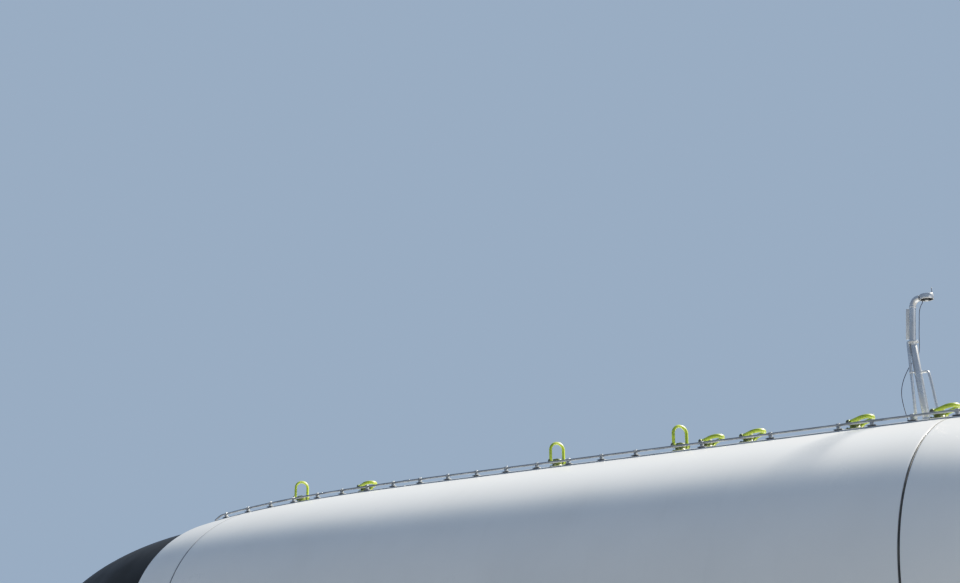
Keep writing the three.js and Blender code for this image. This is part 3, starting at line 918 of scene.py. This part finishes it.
    def nose(self) -> None:
        """Builds the black domed cover over the rotor end."""
        x, power = self.front_rim, 2 / self.nose_power
        size = SECTION.scale(x) - self.rim_wall - self.cover_gap
        stations = [(size, x + self.recess - self.slack), (size, x + self.nose_lip)]
        for turn in spread(0.0, math.pi / 2, self.nose_steps)[:-1]:
            stations.append((size * math.cos(turn) ** power, x - self.nose_length * math.sin(turn) ** power))
        stations.append((stations[-1][0] * self.tip, x - self.nose_length))
        dress(self.loft(stations, pole=True), "domed_cover", COVER, ["nose_cover"])

    def dome(self, share: float) -> Station:
        """The tail panel's size and place at a share of its bulge."""
        size = SECTION.scale(self.rear_rim) - self.rim_wall - self.cover_gap - self.tail_round
        return size * math.sqrt(1 - share), self.rear_rim - self.tail_edge + self.tail_bulge * share

    def tail(self) -> None:
        """Builds the domed panel in the rear rim and its ring of screws."""
        ring, edge = self.dome(0.0)
        size = ring + self.tail_round
        stations = [(size, self.rear_rim - self.recess + self.slack)]
        stations += [(size + inward, edge + along) for inward, along in self.tail_lip]
        stations += [self.dome(step / self.tail_steps) for step in range(self.tail_steps)]
        stations.append((stations[-1][0] * self.tip, edge + self.tail_bulge))
        dress(self.loft(stations, pole=True), "tail_dome", SHELL, ["tail_panel"])
        places = []
        for index in range(self.screws):
            spot = SECTION.point(math.tau * (index + 0.5) / self.screws, *self.dome(self.screw_share))
            inward = Vector((0.0, -spot.y, SECTION.waist - spot.z)).normalized()
            out = (REARWARD - inward * self.screw_tilt).normalized()
            turn = out.to_track_quat("Z", "Y").to_matrix().to_4x4()
            places.append(Matrix.Translation(spot - out * self.screw_sink) @ turn)
        dress(copies(bolt(*self.screw), places), "tail_screws", STEEL)

    def build(self) -> None:
        """Builds every piece of the housing."""
        self.sections()
        self.seals()
        self.nose()
        self.tail()


@dataclass
class YawParts:
    """The collar, ring and flange under the housing."""

    flange_radius: float = 1.600
    flange_top: float = 0.100
    flange_rounds: Size = (0.006, 0.008)
    flange_sides: int = 144
    ring_radius: float = 1.500
    ring_top: float = 0.230
    collar_radius: float = 1.720
    collar_sides: int = 160
    collar_lip: tuple[Station, ...] = (
        (-0.04, 0.0), (-0.008, 0.0), (0.0, 0.008), (0.0, 0.05), (-0.006, 0.056), (-0.006, 0.1), (-0.006, 1.1)
    )
    collar_cut: float = 1.0
    collar_overlap: float = 0.004
    gap: float = 0.0003
    teeth: int = 120
    tooth: float = 0.030
    tooth_face: float = 0.94
    bolts: int = 72
    bolt_size: Size = (0.062, 0.034)
    bolt_circle: float = 1.552

    def flange(self) -> None:
        """Builds the flange that the nacelle stands on, and its ring of bolts."""
        radius, top, (under, over) = self.flange_radius, self.flange_top, self.flange_rounds
        profile = [(0.0, 0.0), (radius - under, 0.0), (radius, under)]
        profile += [(radius, top - over), (radius - over, top), (0.0, top)]
        dress(lathe(profile, self.flange_sides), "base_flange", CAST, ["yaw_flange"])
        turns = (Matrix.Rotation(math.tau * index / self.bolts, 4, "Z") for index in range(self.bolts))
        places = [turn @ Matrix.Translation((self.bolt_circle, 0.0, top)) for turn in turns]
        dress(copies(bolt(*self.bolt_size), places), "flange_bolts", ZINC)

    def on_tooth(self, face: bmesh.types.BMFace) -> bool:
        """Whether a face of the ring's drum carries a tooth."""
        centre = face.calc_center_median()
        step = math.atan2(centre.y, centre.x) / math.tau * self.teeth * 2 - 0.5
        return abs(face.normal.z) < 0.5 and round(step) % 2 == 0

    def ring(self) -> None:
        """Builds the toothed ring between the flange and the collar."""
        low, high, root = self.flange_top + self.gap, self.ring_top, self.ring_radius - self.tooth
        middle = (0.0, 0.0, (low + high) / 2)
        clear()
        bpy.ops.mesh.primitive_cylinder_add(
            vertices=self.teeth * 2, radius=root, depth=high - low, location=middle
        )
        piece = added()
        edit(piece, Pick.FACES, self.on_tooth)
        bpy.ops.mesh.extrude_region_move(TRANSFORM_OT_translate={"value": (0.0, 0.0, 0.0)})
        grow = self.ring_radius / root
        bpy.ops.transform.resize(value=(grow, grow, self.tooth_face), center_override=middle)
        bpy.ops.object.mode_set(mode="OBJECT")
        dress(clean(piece), "yaw_gear", CAST, ["yaw_ring"], smooth=20.0)

    def collar(self) -> None:
        """Builds the moulded collar, from its lip up to the belly."""
        low = self.ring_top + self.gap
        rings = [(self.collar_radius + wider, low + rise) for wider, rise in self.collar_lip]
        clear()
        bpy.ops.mesh.primitive_circle_add(
            vertices=self.collar_sides, radius=rings[0][0], fill_type="NGON", location=(0.0, 0.0, low)
        )
        piece = added()
        edit(piece, Pick.VERTS)
        climb(rings, 2, Vector())
        bpy.ops.object.mode_set(mode="OBJECT")
        for vertex in piece.data.vertices:
            if vertex.co.z > self.collar_cut:
                vertex.co.z = SECTION.under(vertex.co.x, vertex.co.y) + self.collar_overlap
        dress(clean(piece), "yaw_fairing", SHELL, ["yaw_collar"])

    def build(self) -> None:
        """Builds every yaw piece."""
        self.flange()
        self.ring()
        self.collar()


@dataclass
class SafetyRail:
    """One roof rail: its tube in two lengths, the bars under it, and its feet.

    The plug is a length and a share of the radius, and sleeve and clamp ring are a reach and a wall.
    """

    side: Side
    y: float = 0.550
    radius: float = 0.013
    height: float = 0.065
    front: float = -4.750
    joint: float = -1.032
    joint_gap: float = 0.0003
    rear: float = 6.400
    bend: tuple[Station, ...] = ((0.0, 0.017), (0.050, 0.040), (0.130, 0.065))
    bend_end: float = 0.260
    spacing: float = 0.030
    plug: Size = (0.008, 0.94)
    sleeve: Size = (0.055, 0.0035)
    bar_width: float = 0.064
    bar_height: float = 0.014
    bar_sink: float = 0.004
    bar_setback: float = 0.050
    bar_gap: float = 0.004
    bar_cuts: int = 44
    foot_start: float = -4.520
    foot_pitch: float = 0.465
    feet: int = 16
    wide_feet: Size = (3.313, 4.142, 4.909, 5.269, 5.690, 6.140)
    plate: Size = (0.092, 0.060, 0.008)
    plate_bolt: Size = (0.014, 0.006)
    plate_bolt_x: float = 0.034
    post: Size = (0.030, 0.038)
    post_top: float = -0.010
    clamp_ring: Size = (0.019, 0.0065)
    ears: Size = (0.030, 0.050, 0.012)
    ear_bolt: Size = (0.009, 0.006)
    ear_bolt_y: float = 0.0215

    @property
    def across(self) -> float:
        """The rail's Y."""
        return self.side.value * self.y

    def over(self, x: float, height: float) -> Vector:
        """A point over the roof on the rail's line."""
        return Vector((x, self.across, SECTION.roof(x, self.across) + height))

    def level(self, start: float, end: float, count: int) -> list[Vector]:
        """Points at the tube's own height over the roof."""
        return [self.over(x, self.height) for x in spread(start, end, count)]

    def tubes(self) -> None:
        """Builds the two lengths of tube, with a plug in the rear end and a sleeve at the joint."""
        label = self.side.label
        bend = [self.over(self.front + distance, height) for distance, height in self.bend]
        run = self.level(self.front + self.bend_end, self.joint - self.joint_gap, 16)
        front = tube(Path((*bend, *run)).sampled(self.spacing), self.radius)
        dress(front, f"{label}_tube_front", STEEL, [f"{label}_rail_front"])
        line = self.level(self.joint, self.rear, 60)
        rear = tube(line, self.radius)
        (length, share), (reach, wall) = self.plug, self.sleeve
        plug = rod(line[-1], line[-1] + REARWARD * length, self.radius * share, 0.004, 24)
        dress(joined([rear, plug]), f"{label}_tube_rear", STEEL, [f"{label}_rail_rear"])
        sleeve = bar(self.over(self.joint, self.height), REARWARD * reach, self.radius + wall, 0.002, 28)
        dress(sleeve, f"{label}_tube_sleeve", STEEL)

    def strip(self, start: float, end: float) -> Piece:
        """Builds one flat bar that follows the roof from one X to another."""
        centre, size = ((start + end) / 2, self.across, 0.0), (end - start, self.bar_width, self.bar_height)
        piece = cuboid(centre, size)
        edit(piece, Pick.EDGES, runs_along(0, 0.5))
        bpy.ops.mesh.subdivide(number_cuts=self.bar_cuts)
        bpy.ops.object.mode_set(mode="OBJECT")
        for vertex in piece.data.vertices:
            rise = -self.bar_sink if vertex.co.z < 0 else self.bar_height
            vertex.co.z = SECTION.roof(vertex.co.x, vertex.co.y) + rise
        return rounded(piece, 0.003, 50.0)

    def spots(self) -> list[Matrix]:
        """The place of each foot, on the tube's centre and in line with the roof."""
        places = []
        close = [self.foot_start + self.foot_pitch * index for index in range(self.feet)]
        for x in (*close, *self.wide_feet):
            turn = Matrix.Rotation(SECTION.slope(x, self.across), 4, "Y")
            places.append(Matrix.Translation(self.over(x, self.height)) @ turn)
        return places

    def foot(self) -> Piece:
        """Models one dark base plate with its two bolts."""
        low, thick = self.bar_height - self.height, self.plate[2]
        plate = block((0.0, 0.0, low + thick / 2), self.plate, 0.002)
        spots = [(x, 0.0, low + thick) for x in (-self.plate_bolt_x, self.plate_bolt_x)]
        return joined([plate, *bolts(*self.plate_bolt, spots)])

    def clamp(self) -> Piece:
        """Models one light clamp: a post, the ring round the tube, and its cap with two bolts."""
        low, high = self.bar_height - self.height + self.plate[2], self.post_top
        post = block((0.0, 0.0, (low + high) / 2), (*self.post, high - low), 0.003)
        reach, wall = self.clamp_ring
        ring = bar(Vector(), REARWARD * reach, self.radius + wall, 0.0025, 28)
        ears = block((0.0, 0.0, 0.0), self.ears, 0.002)
        spots = [(0.0, y, self.ears[2] / 2) for y in (-self.ear_bolt_y, self.ear_bolt_y)]
        return joined([post, ring, ears, *bolts(*self.ear_bolt, spots)])

    def build(self) -> None:
        """Builds the rail's tubes, bars, feet and clamps."""
        self.tubes()
        label, places = self.side.label, self.spots()
        front = self.strip(self.front + self.bar_setback, self.joint - self.bar_gap)
        dress(front, f"{label}_bar_front", BAR, [f"{label}_rail_track_front"])
        rear = self.strip(self.joint + self.bar_gap, self.rear - self.bar_setback)
        dress(rear, f"{label}_bar_rear", BAR, [f"{label}_rail_track_rear"])
        dress(copies(self.foot(), places), f"{label}_foot_plates", TRACK)
        dress(copies(self.clamp(), places), f"{label}_tube_clamps", STEEL)


@dataclass
class LiftingRing:
    """One lifting ring: a base on the roof and a bail on its pin, set upright or folded flat."""

    name: str
    x: float
    folded: bool = False
    row: float = -0.250
    pad: float = 0.150
    pad_rise: float = 0.024
    pad_depth: float = 0.060
    pad_corner: float = 0.024
    pad_bolt: Size = (0.020, 0.010)
    pad_bolt_x: float = 0.058
    body_rise: float = 0.104
    body: tuple[Station, ...] = (
        (0.0, 0.0), (0.064, 0.0), (0.064, 0.028), (0.058, 0.036), (0.058, 0.092),
        (0.054, 0.100), (0.046, 0.104), (0.030, 0.104), (0.026, 0.098), (0.0, 0.098),
    )
    top_bolt: Size = (0.030, 0.016)
    top_bolt_sink: float = 0.008
    pin_rise: float = 0.074
    pin_radius: float = 0.020
    pin_reach: float = 0.112
    head_radius: float = 0.028
    head_length: float = 0.009
    head_gap: float = 0.002
    bail_half: float = 0.100
    leg: float = 0.032
    bail_height: float = 0.245
    bail_thickness: float = 0.044
    bail_foot: float = 0.030
    bore_reach: float = 0.140
    arc_steps: int = 24
    fold: float = 80.0
    turns: Size = (60.0, 70.0)
    masters: dict[str, bpy.types.Mesh] = field(default_factory=dict)

    @property
    def stand(self) -> Matrix:
        """The base's place on the roof, with the pin's turn about Z, upright or folded."""
        seat = Vector((self.x, self.row, SECTION.roof(self.x, self.row)))
        return Matrix.Translation(seat) @ Matrix.Rotation(math.radians(self.turns[self.folded]), 4, "Z")

    def base(self) -> Piece:
        """Models the base at the origin: a pad, a round body and the caps of the pin."""
        depth = self.pad_depth
        pad = block((0.0, 0.0, self.pad_rise - depth / 2), (self.pad, self.pad, depth), 0.001)
        pad = rounded(corners(pad, 2, depth * 0.5, self.pad_corner, 5), 0.004, 50.0)
        parts = [pad, lathe(self.body, 40)]
        for way in (-1, 1):
            start = Vector((way * (self.bail_half + self.head_gap), 0.0, self.pin_rise))
            parts.append(rod(start, start + REARWARD * (way * self.head_length), self.head_radius, 0.002, 28))
        return joined(parts)

    def pin(self) -> Piece:
        """Models the pin through the body, the bolt on top, and the bolts in the pad."""
        pin = bar(UP * self.pin_rise, REARWARD * self.pin_reach, self.pin_radius, 0.002, 28)
        top = bolts(*self.top_bolt, [(0.0, 0.0, self.body_rise - self.top_bolt_sink)])
        reach = (-self.pad_bolt_x, self.pad_bolt_x)
        spots = [(x, y, self.pad_rise) for x in reach for y in reach]
        return joined([pin, *top, *bolts(*self.pad_bolt, spots)])

    def bail(self) -> Piece:
        """Models the bail standing over the origin, with its pin along X."""
        half = self.leg / 2
        centre = self.bail_half - half
        spring = self.bail_height - half - 0.004 - centre
        foot, knee = -self.bail_foot * 0.3, spring - 0.004
        turns = [math.pi * (1 - step / self.arc_steps) for step in range(self.arc_steps + 1)]
        hoop = tube(
            [
                *(Vector((-centre, 0.0, z)) for z in spread(foot, knee, 4)),
                *(Vector((centre * math.cos(turn), 0.0, spring + centre * math.sin(turn))) for turn in turns),
                *(Vector((centre, 0.0, z)) for z in spread(knee, foot, 4)),
            ],
            half + 0.001,
            4,
        )
        for vertex in hoop.data.vertices:
            vertex.co.y *= self.bail_thickness / self.leg
        for way in (-1, 1):
            ends = (Vector((way * (centre + reach), 0.0, 0.0)) for reach in (-half, half))
            combine(hoop, rod(*ends, self.bail_foot, 0.005), "UNION")
        bore = bar(Vector(), REARWARD * self.bore_reach, self.pin_radius + 0.001, 0.0001, 28)
        combine(hoop, bore, "DIFFERENCE")
        return clean(hoop, 2e-5)

    def twin(self, maker: Callable[[], Piece], place: Matrix) -> Piece:
        """Copies a master mesh to a place, and models the master the first time.

        Args:
            maker: The method that models it.
            place: Where the copy goes.

        Returns:
            The copy.
        """
        key = maker.__name__
        if key not in self.masters:
            model = maker()
            self.masters[key] = model.data
            bpy.data.objects.remove(model)
        piece = bpy.data.objects.new(key, self.masters[key].copy())
        bpy.context.scene.collection.objects.link(piece)
        piece.data.transform(place)
        return piece

    def build(self) -> None:
        """Builds the base, the pin and the bail of this ring."""
        name, stand = self.name, self.stand
        # The seat, with the pin's caps, gets the darkened lime: painted shade on the base.
        dress(self.twin(self.base, stand), f"{name}_seat", SHADED_LIME, [f"{name}_base"])
        dress(self.twin(self.pin, stand), f"{name}_pin", PIN)
        fold = Matrix.Rotation(math.radians(self.fold if self.folded else 0.0), 4, "X")
        bail = self.twin(self.bail, stand @ Matrix.Translation(UP * self.pin_rise) @ fold)
        dress(bail, f"{name}_hoop", LIME, [f"{name}_bail"], body=f"{name}_bail_body")


@dataclass
class SensorMast:
    """The leaning mast with its foot, knuckle, braces, sensor cup and lead.

    Cup, cup shade and sensor are profiles of radius and height about the cup's centre; the cup
    shade is a dark sheet inside the cup, painted shade for its hollow. Welds are a wall and a height,
    and sleeve and link collar are a reach and a wall. Rod, gland and nuts are a radius and a height,
    and the sensor's face is a radius with its reach down and up.
    """

    foot_x: float = 5.600
    foot_size: Size = (0.460, 0.190)
    foot_rise: float = 0.016
    foot_depth: float = 0.050
    foot_bolt: Size = (0.026, 0.013)
    foot_bolt_place: Size = (0.200, 0.070)
    socket_radius: float = 0.052
    socket_rise: float = 0.075
    socket_weld: Size = (0.007, 0.008)
    tube_radius: float = 0.039
    lower_foot_x: float = 5.626
    lower_top: Station = (5.545, 0.850)
    gap: float = 0.0003
    knuckle_plate: float = 0.016
    knuckle_length: float = 0.040
    knuckle_radius: float = 0.060
    hub_radius: float = 0.038
    hub_weld: Size = (0.005, 0.006)
    upper_radius: float = 0.033
    upper_bend: Station = (5.576, 1.235)
    elbow: tuple[Station, ...] = ((5.581, 1.272), (5.605, 1.315), (5.638, 1.335))
    sleeve: Size = (0.007, 0.004)
    sleeve_share: float = 0.55
    head: Station = (5.735, 1.335)
    cup_radius: float = 0.071
    air_rod: Size = (0.0045, 0.062)
    air_rod_nut: Size = (0.010, 0.010)
    air_rod_inset: float = 0.010
    face: Size = (0.017, 0.004, 0.003)
    fin: Size = (0.042, 0.008, 0.326)
    fin_corner: float = 0.008
    fin_sink: float = 0.004
    fin_share: float = 0.54
    leg_radius: float = 0.015
    leg_foot_x: float = 5.528
    leg_top_x: float = 5.512
    leg_y: float = -0.046
    link_height: float = 0.560
    link_collar: Size = (0.014, 0.004)
    link_radius: float = 0.009
    brace_radius: float = 0.014
    brace: tuple[Station, ...] = (
        (5.593, 0.552), (5.655, 0.555), (5.676, 0.547), (5.689, 0.512), (5.742, 0.140), (5.762, 0.016)
    )
    gland: Size = (0.013, 0.026)
    gland_nut: Size = (0.018, 0.010)
    lead_radius: float = 0.004
    lead: tuple[Size, ...] = (
        (5.683, 1.3577, 0.020), (5.683, 1.296, 0.020), (5.654, 1.258, 0.030), (5.632, 1.210, 0.040),
        (5.619, 1.100, 0.040), (5.608, 1.000, 0.042), (5.597, 0.930, 0.055), (5.587, 0.858, 0.067),
        (5.578, 0.790, 0.066), (5.554, 0.732, 0.062), (5.480, 0.640, 0.030), (5.405, 0.480, 0.000),
        (5.378, 0.350, 0.000), (5.404, 0.150, 0.000), (5.430, 0.050, 0.000), (5.430, 0.0163, 0.000),
    )
    cup: tuple[Station, ...] = (
        (0.0, 0.023), (0.062, 0.023), (0.066, 0.019), (0.066, -0.027), (0.067, -0.029), (0.070, -0.029),
        (0.071, -0.027), (0.071, 0.021), (0.068, 0.027), (0.062, 0.029), (0.0, 0.029),
    )
    # A dark sheet just inside the cup's wall and roof: painted shade for the cup's hollow.
    liner: tuple[Station, ...] = (
        (0.026, 0.0224), (0.0614, 0.0224), (0.0654, 0.0184), (0.0654, -0.024), (0.0629, -0.024),
        (0.0629, 0.0174), (0.0604, 0.0199), (0.026, 0.0199), (0.026, 0.0224),
    )
    sensor: tuple[Station, ...] = (
        (0.0, 0.0227), (0.020, 0.0227), (0.020, 0.0087), (0.012, 0.0047), (0.012, -0.0033),
        (0.022, -0.0063), (0.024, -0.0093), (0.024, -0.0313), (0.020, -0.0373), (0.012, -0.0393),
        (0.0, -0.0393),
    )

    def at(self, x: float, height: float, y: float = 0.0) -> Vector:
        """A point on the mast's plane, with its height over the roof."""
        return Vector((x, y, SECTION.roof(self.foot_x, 0.0) + height))

    def post(self, x: float, span: Station, radius: float, round_edge: float, sides: int = 36) -> Piece:
        """Makes an upright rod on the mast's plane, between two heights over the roof."""
        low, high = span
        return rod(self.at(x, low), self.at(x, high), radius, round_edge, sides)

    def stood(self, x: float, low: float, size: Size, round_edge: float, sides: int) -> Piece:
        """Makes an upright rod of a radius and a height that stands at a height over the roof."""
        radius, height = size
        return self.post(x, (low, low + height), radius, round_edge, sides)

    def foot(self) -> None:
        """Builds the foot plate with its socket and bolts."""
        x, top = self.lower_foot_x, self.foot_rise
        (wall, rise), (along, aside) = self.socket_weld, self.foot_bolt_place
        centre = self.at(self.foot_x, top - self.foot_depth / 2)
        plate = block(centre, (*self.foot_size, self.foot_depth), 0.003)
        socket = self.post(x, (0.0, self.socket_rise), self.socket_radius, 0.004)
        weld = self.post(x, (top, top + rise), self.socket_radius + wall, 0.005)
        spots = [self.at(self.foot_x + dx, top, y) for dx in (-along, along) for y in (-aside, aside)]
        parts = [plate, socket, weld, *bolts(*self.foot_bolt, spots)]
        dress(joined(parts), "mast_base_plate", MAST, ["mast_foot"])

    def tubes(self) -> None:
        """Builds the lower tube, the knuckle, the upper tube and the fin."""
        x, height = self.lower_top
        lean = Vector((x - self.lower_foot_x, 0.0, height)).normalized()
        start = self.at(self.lower_foot_x, 0.0) + lean * (self.foot_rise + 0.002)
        lower = rod(start, self.at(x, height - 0.0005), self.tube_radius, 0.001, 36)
        dress(lower, "mast_tube_lower", MAST, ["mast_lower_tube"])
        low = height + self.gap
        high = low + self.knuckle_length
        under = high - self.knuckle_plate
        plate = self.post(x, (under, high), self.knuckle_radius, 0.003, 40)
        hub = self.post(x, (low, high), self.hub_radius, 0.003)
        wall, rise = self.hub_weld
        weld = self.post(x, (under - rise, under), self.hub_radius + wall, 0.003)
        dress(joined([plate, hub, weld]), "mast_joint", MAST, ["mast_knuckle"])
        foot, bend = self.at(x, high), self.at(*self.upper_bend)
        elbow = [self.at(*point) for point in self.elbow]
        end = self.at(self.head[0] - self.cup_radius - 0.0005, self.head[1])
        line = Path((foot, foot.lerp(bend, 0.5), bend, *elbow, end)).sampled(0.010)
        dress(tube(line, self.upper_radius, 7), "mast_tube_upper", MAST, ["mast_upper_tube"])
        reach, wall = self.sleeve
        middle, along = bend.lerp(elbow[0], self.sleeve_share), (elbow[0] - bend).normalized()
        sleeve = bar(middle, along * reach, self.upper_radius + wall, 0.002, 36)
        dress(sleeve, "mast_elbow_sleeve", MAST)
        self.side_plate(foot, bend)

    def side_plate(self, foot: Vector, bend: Vector) -> None:
        """Builds the fin on the front of the upper tube, between its foot and its bend."""
        width, thickness = self.fin[:2]
        fin = block((self.fin_sink - self.upper_radius - width / 2, 0.0, 0.0), self.fin, 0.003)
        corners(fin, 1, thickness * 0.4, self.fin_corner, 3)
        lean = Matrix.Rotation(math.atan2(bend.x - foot.x, bend.z - foot.z), 4, "Y")
        fin.data.transform(Matrix.Translation(foot.lerp(bend, self.fin_share)) @ lean)
        # The side plate's pale finish is a painted reflection.
        dress(fin, "mast_side_plate", PALE_PLATE, ["mast_fin"])

    def stays(self) -> None:
        """Builds the leg in front of the mast and the bent brace behind it."""
        top_x, top_z = self.lower_top
        head = self.at(self.leg_top_x, top_z + self.knuckle_length - self.knuckle_plate, self.leg_y)
        leg = rod(self.at(self.leg_foot_x, self.foot_rise, self.leg_y), head, self.leg_radius, 0.001, 24)
        dress(leg, "mast_front_leg", MAST, ["mast_leg"])
        share = self.link_height / top_z
        leg_x = self.leg_foot_x + (self.leg_top_x - self.leg_foot_x) * share
        on_leg = self.at(leg_x, self.link_height, self.leg_y)
        on_tube = self.at(self.lower_foot_x + (top_x - self.lower_foot_x) * share, self.link_height)
        reach, wall = self.link_collar
        collar = bar(on_leg, UP * reach, self.leg_radius + wall, 0.002, 24)
        link = rod(on_leg, on_leg.lerp(on_tube, 0.6), self.link_radius, 0.001, 16)
        dress(joined([collar, link]), "mast_leg_link", MAST)
        line = Path(tuple(self.at(x, z) for x, z in self.brace)).sampled(0.012)
        dress(tube(line, self.brace_radius), "mast_back_brace", MAST, ["mast_brace"])

    def instruments(self) -> None:
        """Builds the cup, a dark sheet of painted shade inside it, the sensor in it and the air rod on it."""
        for label, profile, sides, finish, nodes in (
            ("sensor_cup", self.cup, 48, MAST, ["sensor_ring"]),
            # The cup shade is painted shade in the dark plastic finish.
            ("sensor_cup_painted_shade", self.liner, 48, SENSOR, []),
            ("wind_sensor_body", self.sensor, 32, SENSOR, ["wind_sensor"]),
        ):
            dress(moved(lathe(profile, sides), self.at(*self.head)), label, finish, nodes)
        (x, height), (radius, down, up) = self.head, self.face
        face = height + self.sensor[-1][1]
        dress(self.post(x, (face - down, face + up), radius, 0.002, 28), "wind_sensor_face", PALE_PLATE)
        x, low = x + self.cup_radius - self.air_rod_inset, height + self.cup[-1][1] + self.gap
        shaft = self.stood(x, low, self.air_rod, 0.002, 16)
        nut = self.stood(x, low, self.air_rod_nut, 0.0015, 6)
        dress(joined([shaft, nut]), "air_rod_tip", STEEL, ["air_rod"])

    def wiring(self) -> None:
        """Builds the sensor's lead and the gland in the foot."""
        line = Path(tuple(self.at(x, z, y) for x, z, y in self.lead)).sampled(0.015)
        dress(tube(line, self.lead_radius, 4), "sensor_lead", LEAD, ["mast_lead"])
        x, low = self.lead[-1][0], self.foot_rise
        gland, nut = self.stood(x, low, self.gland, 0.003, 20), self.stood(x, low, self.gland_nut, 0.002, 6)
        dress(joined([gland, nut]), "lead_gland", SENSOR)

    def build(self) -> None:
        """Builds every piece of the mast."""
        self.foot()
        self.tubes()
        self.stays()
        self.instruments()
        self.wiring()


@dataclass
class Studio:
    """The camera, the floor and the soft light."""

    camera_place: Size = (10.9, -13.57, 1.4725)
    pitch: float = 16.37
    azimuth: float = 39.45
    lens: float = 51.75
    backdrop: Colour = (0.27, 0.35, 0.475)
    fill: float = 0.72
    key_from: Size = (0.30, 0.635, 0.705)
    key_power: float = 10.2
    key_colour: Colour = (1.0, 0.97, 0.88)
    key_softness: float = 13.0
    floor_size: float = 160.0
    floor_colour: Colour = (0.235, 0.235, 0.231)
    floor_shade: float = 0.94
    box_place: Size = (27.0, -1.5, 6.0)
    box_size: Size = (20.0, 12.0)
    box_power: float = 320.0
    shoulder: tuple[Station, ...] = (
        (0.78, 0.78), (1.0, 0.88), (1.4, 0.935), (2.0, 0.968), (2.8, 0.99), (3.6, 1.0)
    )

    def place(self, label: str, data: bpy.types.ID, spot: Sequence[float], turn: Sequence[float]) -> Piece:
        """Adds a camera or a light to the scene, with its place and its turn in radians."""
        item = bpy.data.objects.new(label, data)
        item.location, item.rotation_euler = spot, turn
        bpy.context.scene.collection.objects.link(item)
        return item

    def camera(self) -> None:
        """Places the camera at the photograph's viewing angle."""
        data = bpy.data.cameras.new("view")
        data.lens, data.sensor_width, data.clip_end = self.lens, 36.0, 300.0
        turn = (math.radians(90.0 + self.pitch), 0.0, math.radians(self.azimuth))
        bpy.context.scene.camera = self.place("view", data, self.camera_place, turn)

    def floor(self) -> None:
        """Lays a plain pale floor."""
        clear()
        bpy.ops.mesh.primitive_plane_add(size=self.floor_size, location=(1.0, 0.0, -0.001))
        floor = bpy.context.active_object
        floor.name = floor.data.name = "floor"
        material = bpy.data.materials.new("pale_floor")
        material.use_nodes = True
        desk = Desk(material.node_tree)
        shader = material.node_tree.nodes["Principled BSDF"]
        tone = desk.noise(desk.where(), 0.5, 4.0)
        shade = tuple(channel * self.floor_shade for channel in self.floor_colour)
        desk.feed(shader.inputs["Base Color"], desk.blend(tone, self.floor_colour, shade))
        desk.feed(shader.inputs["Roughness"], desk.span(tone, 0.75, 0.9))
        floor.data.materials.append(material)

    def lights(self) -> None:
        """Sets the even backdrop light, the soft key, and a softbox behind the rear end."""
        world = bpy.data.worlds.new("studio")
        world.use_nodes = True
        ground = world.node_tree.nodes["Background"]
        ground.inputs["Color"].default_value = (*self.backdrop, 1.0)
        desk = Desk(world.node_tree)
        seen = desk.add("LightPath").outputs["Is Camera Ray"]
        desk.feed(ground.inputs["Strength"], desk.span(seen, self.fill, 1.0))
        bpy.context.scene.world = world
        sun = bpy.data.lights.new("key", "SUN")
        sun.energy, sun.color, sun.angle = self.key_power, self.key_colour, math.radians(self.key_softness)
        self.place("key", sun, (0.0, 0.0, 0.0), Vector(self.key_from).to_track_quat("Z", "Y").to_euler())
        panel = bpy.data.lights.new("softbox", "AREA")
        panel.shape, panel.energy = "RECTANGLE", self.box_power
        panel.size, panel.size_y = self.box_size
        box = self.place("softbox", panel, self.box_place, (math.radians(90.0), 0.0, math.radians(90.0)))
        box.visible_camera = box.visible_diffuse = False

    def tones(self) -> None:
        """Keeps the middle tones as they are and eases the brightest ones towards white."""
        view = bpy.context.scene.view_settings
        view.view_transform, view.use_curve_mapping = "Standard", True
        mapping, brightest = view.curve_mapping, self.shoulder[-1][0]
        mapping.white_level = (brightest, brightest, brightest)
        points = mapping.curves[3].points
        for light, tone in self.shoulder[:-1]:
            points.new(light / brightest, tone)
        for point in points:
            eased = point.location.x * brightest > self.shoulder[0][0]
            point.handle_type = "AUTO_CLAMPED" if eased else "VECTOR"
        mapping.update()

    def build(self) -> None:
        """Sets up the camera, the lights and the floor."""
        self.camera()
        self.lights()
        self.tones()
        self.floor()


def lifting_rings() -> list[LiftingRing]:
    """The eight lifting rings on the roof, which share their master meshes."""
    masters: dict[str, bpy.types.Mesh] = {}
    upright = (-3.290, 1.140, 2.860)
    places = (-3.290, -2.060, 1.140, 2.860, 3.210, 3.720, 4.960, 5.850)
    return [
        LiftingRing(f"lifting_ring_{index}", x, x not in upright, masters=masters)
        for index, x in enumerate(places, 1)
    ]


def main() -> None:
    """Builds the studio and every sub-assembly in order."""
    logging.basicConfig(level=logging.INFO, format="%(name)s %(message)s")
    Studio().build()
    Housing().build()
    YawParts().build()
    for side in Side:
        SafetyRail(side).build()
    for ring in lifting_rings():
        ring.build()
    SensorMast().build()
    clear()


if __name__ == "__main__":
    main()
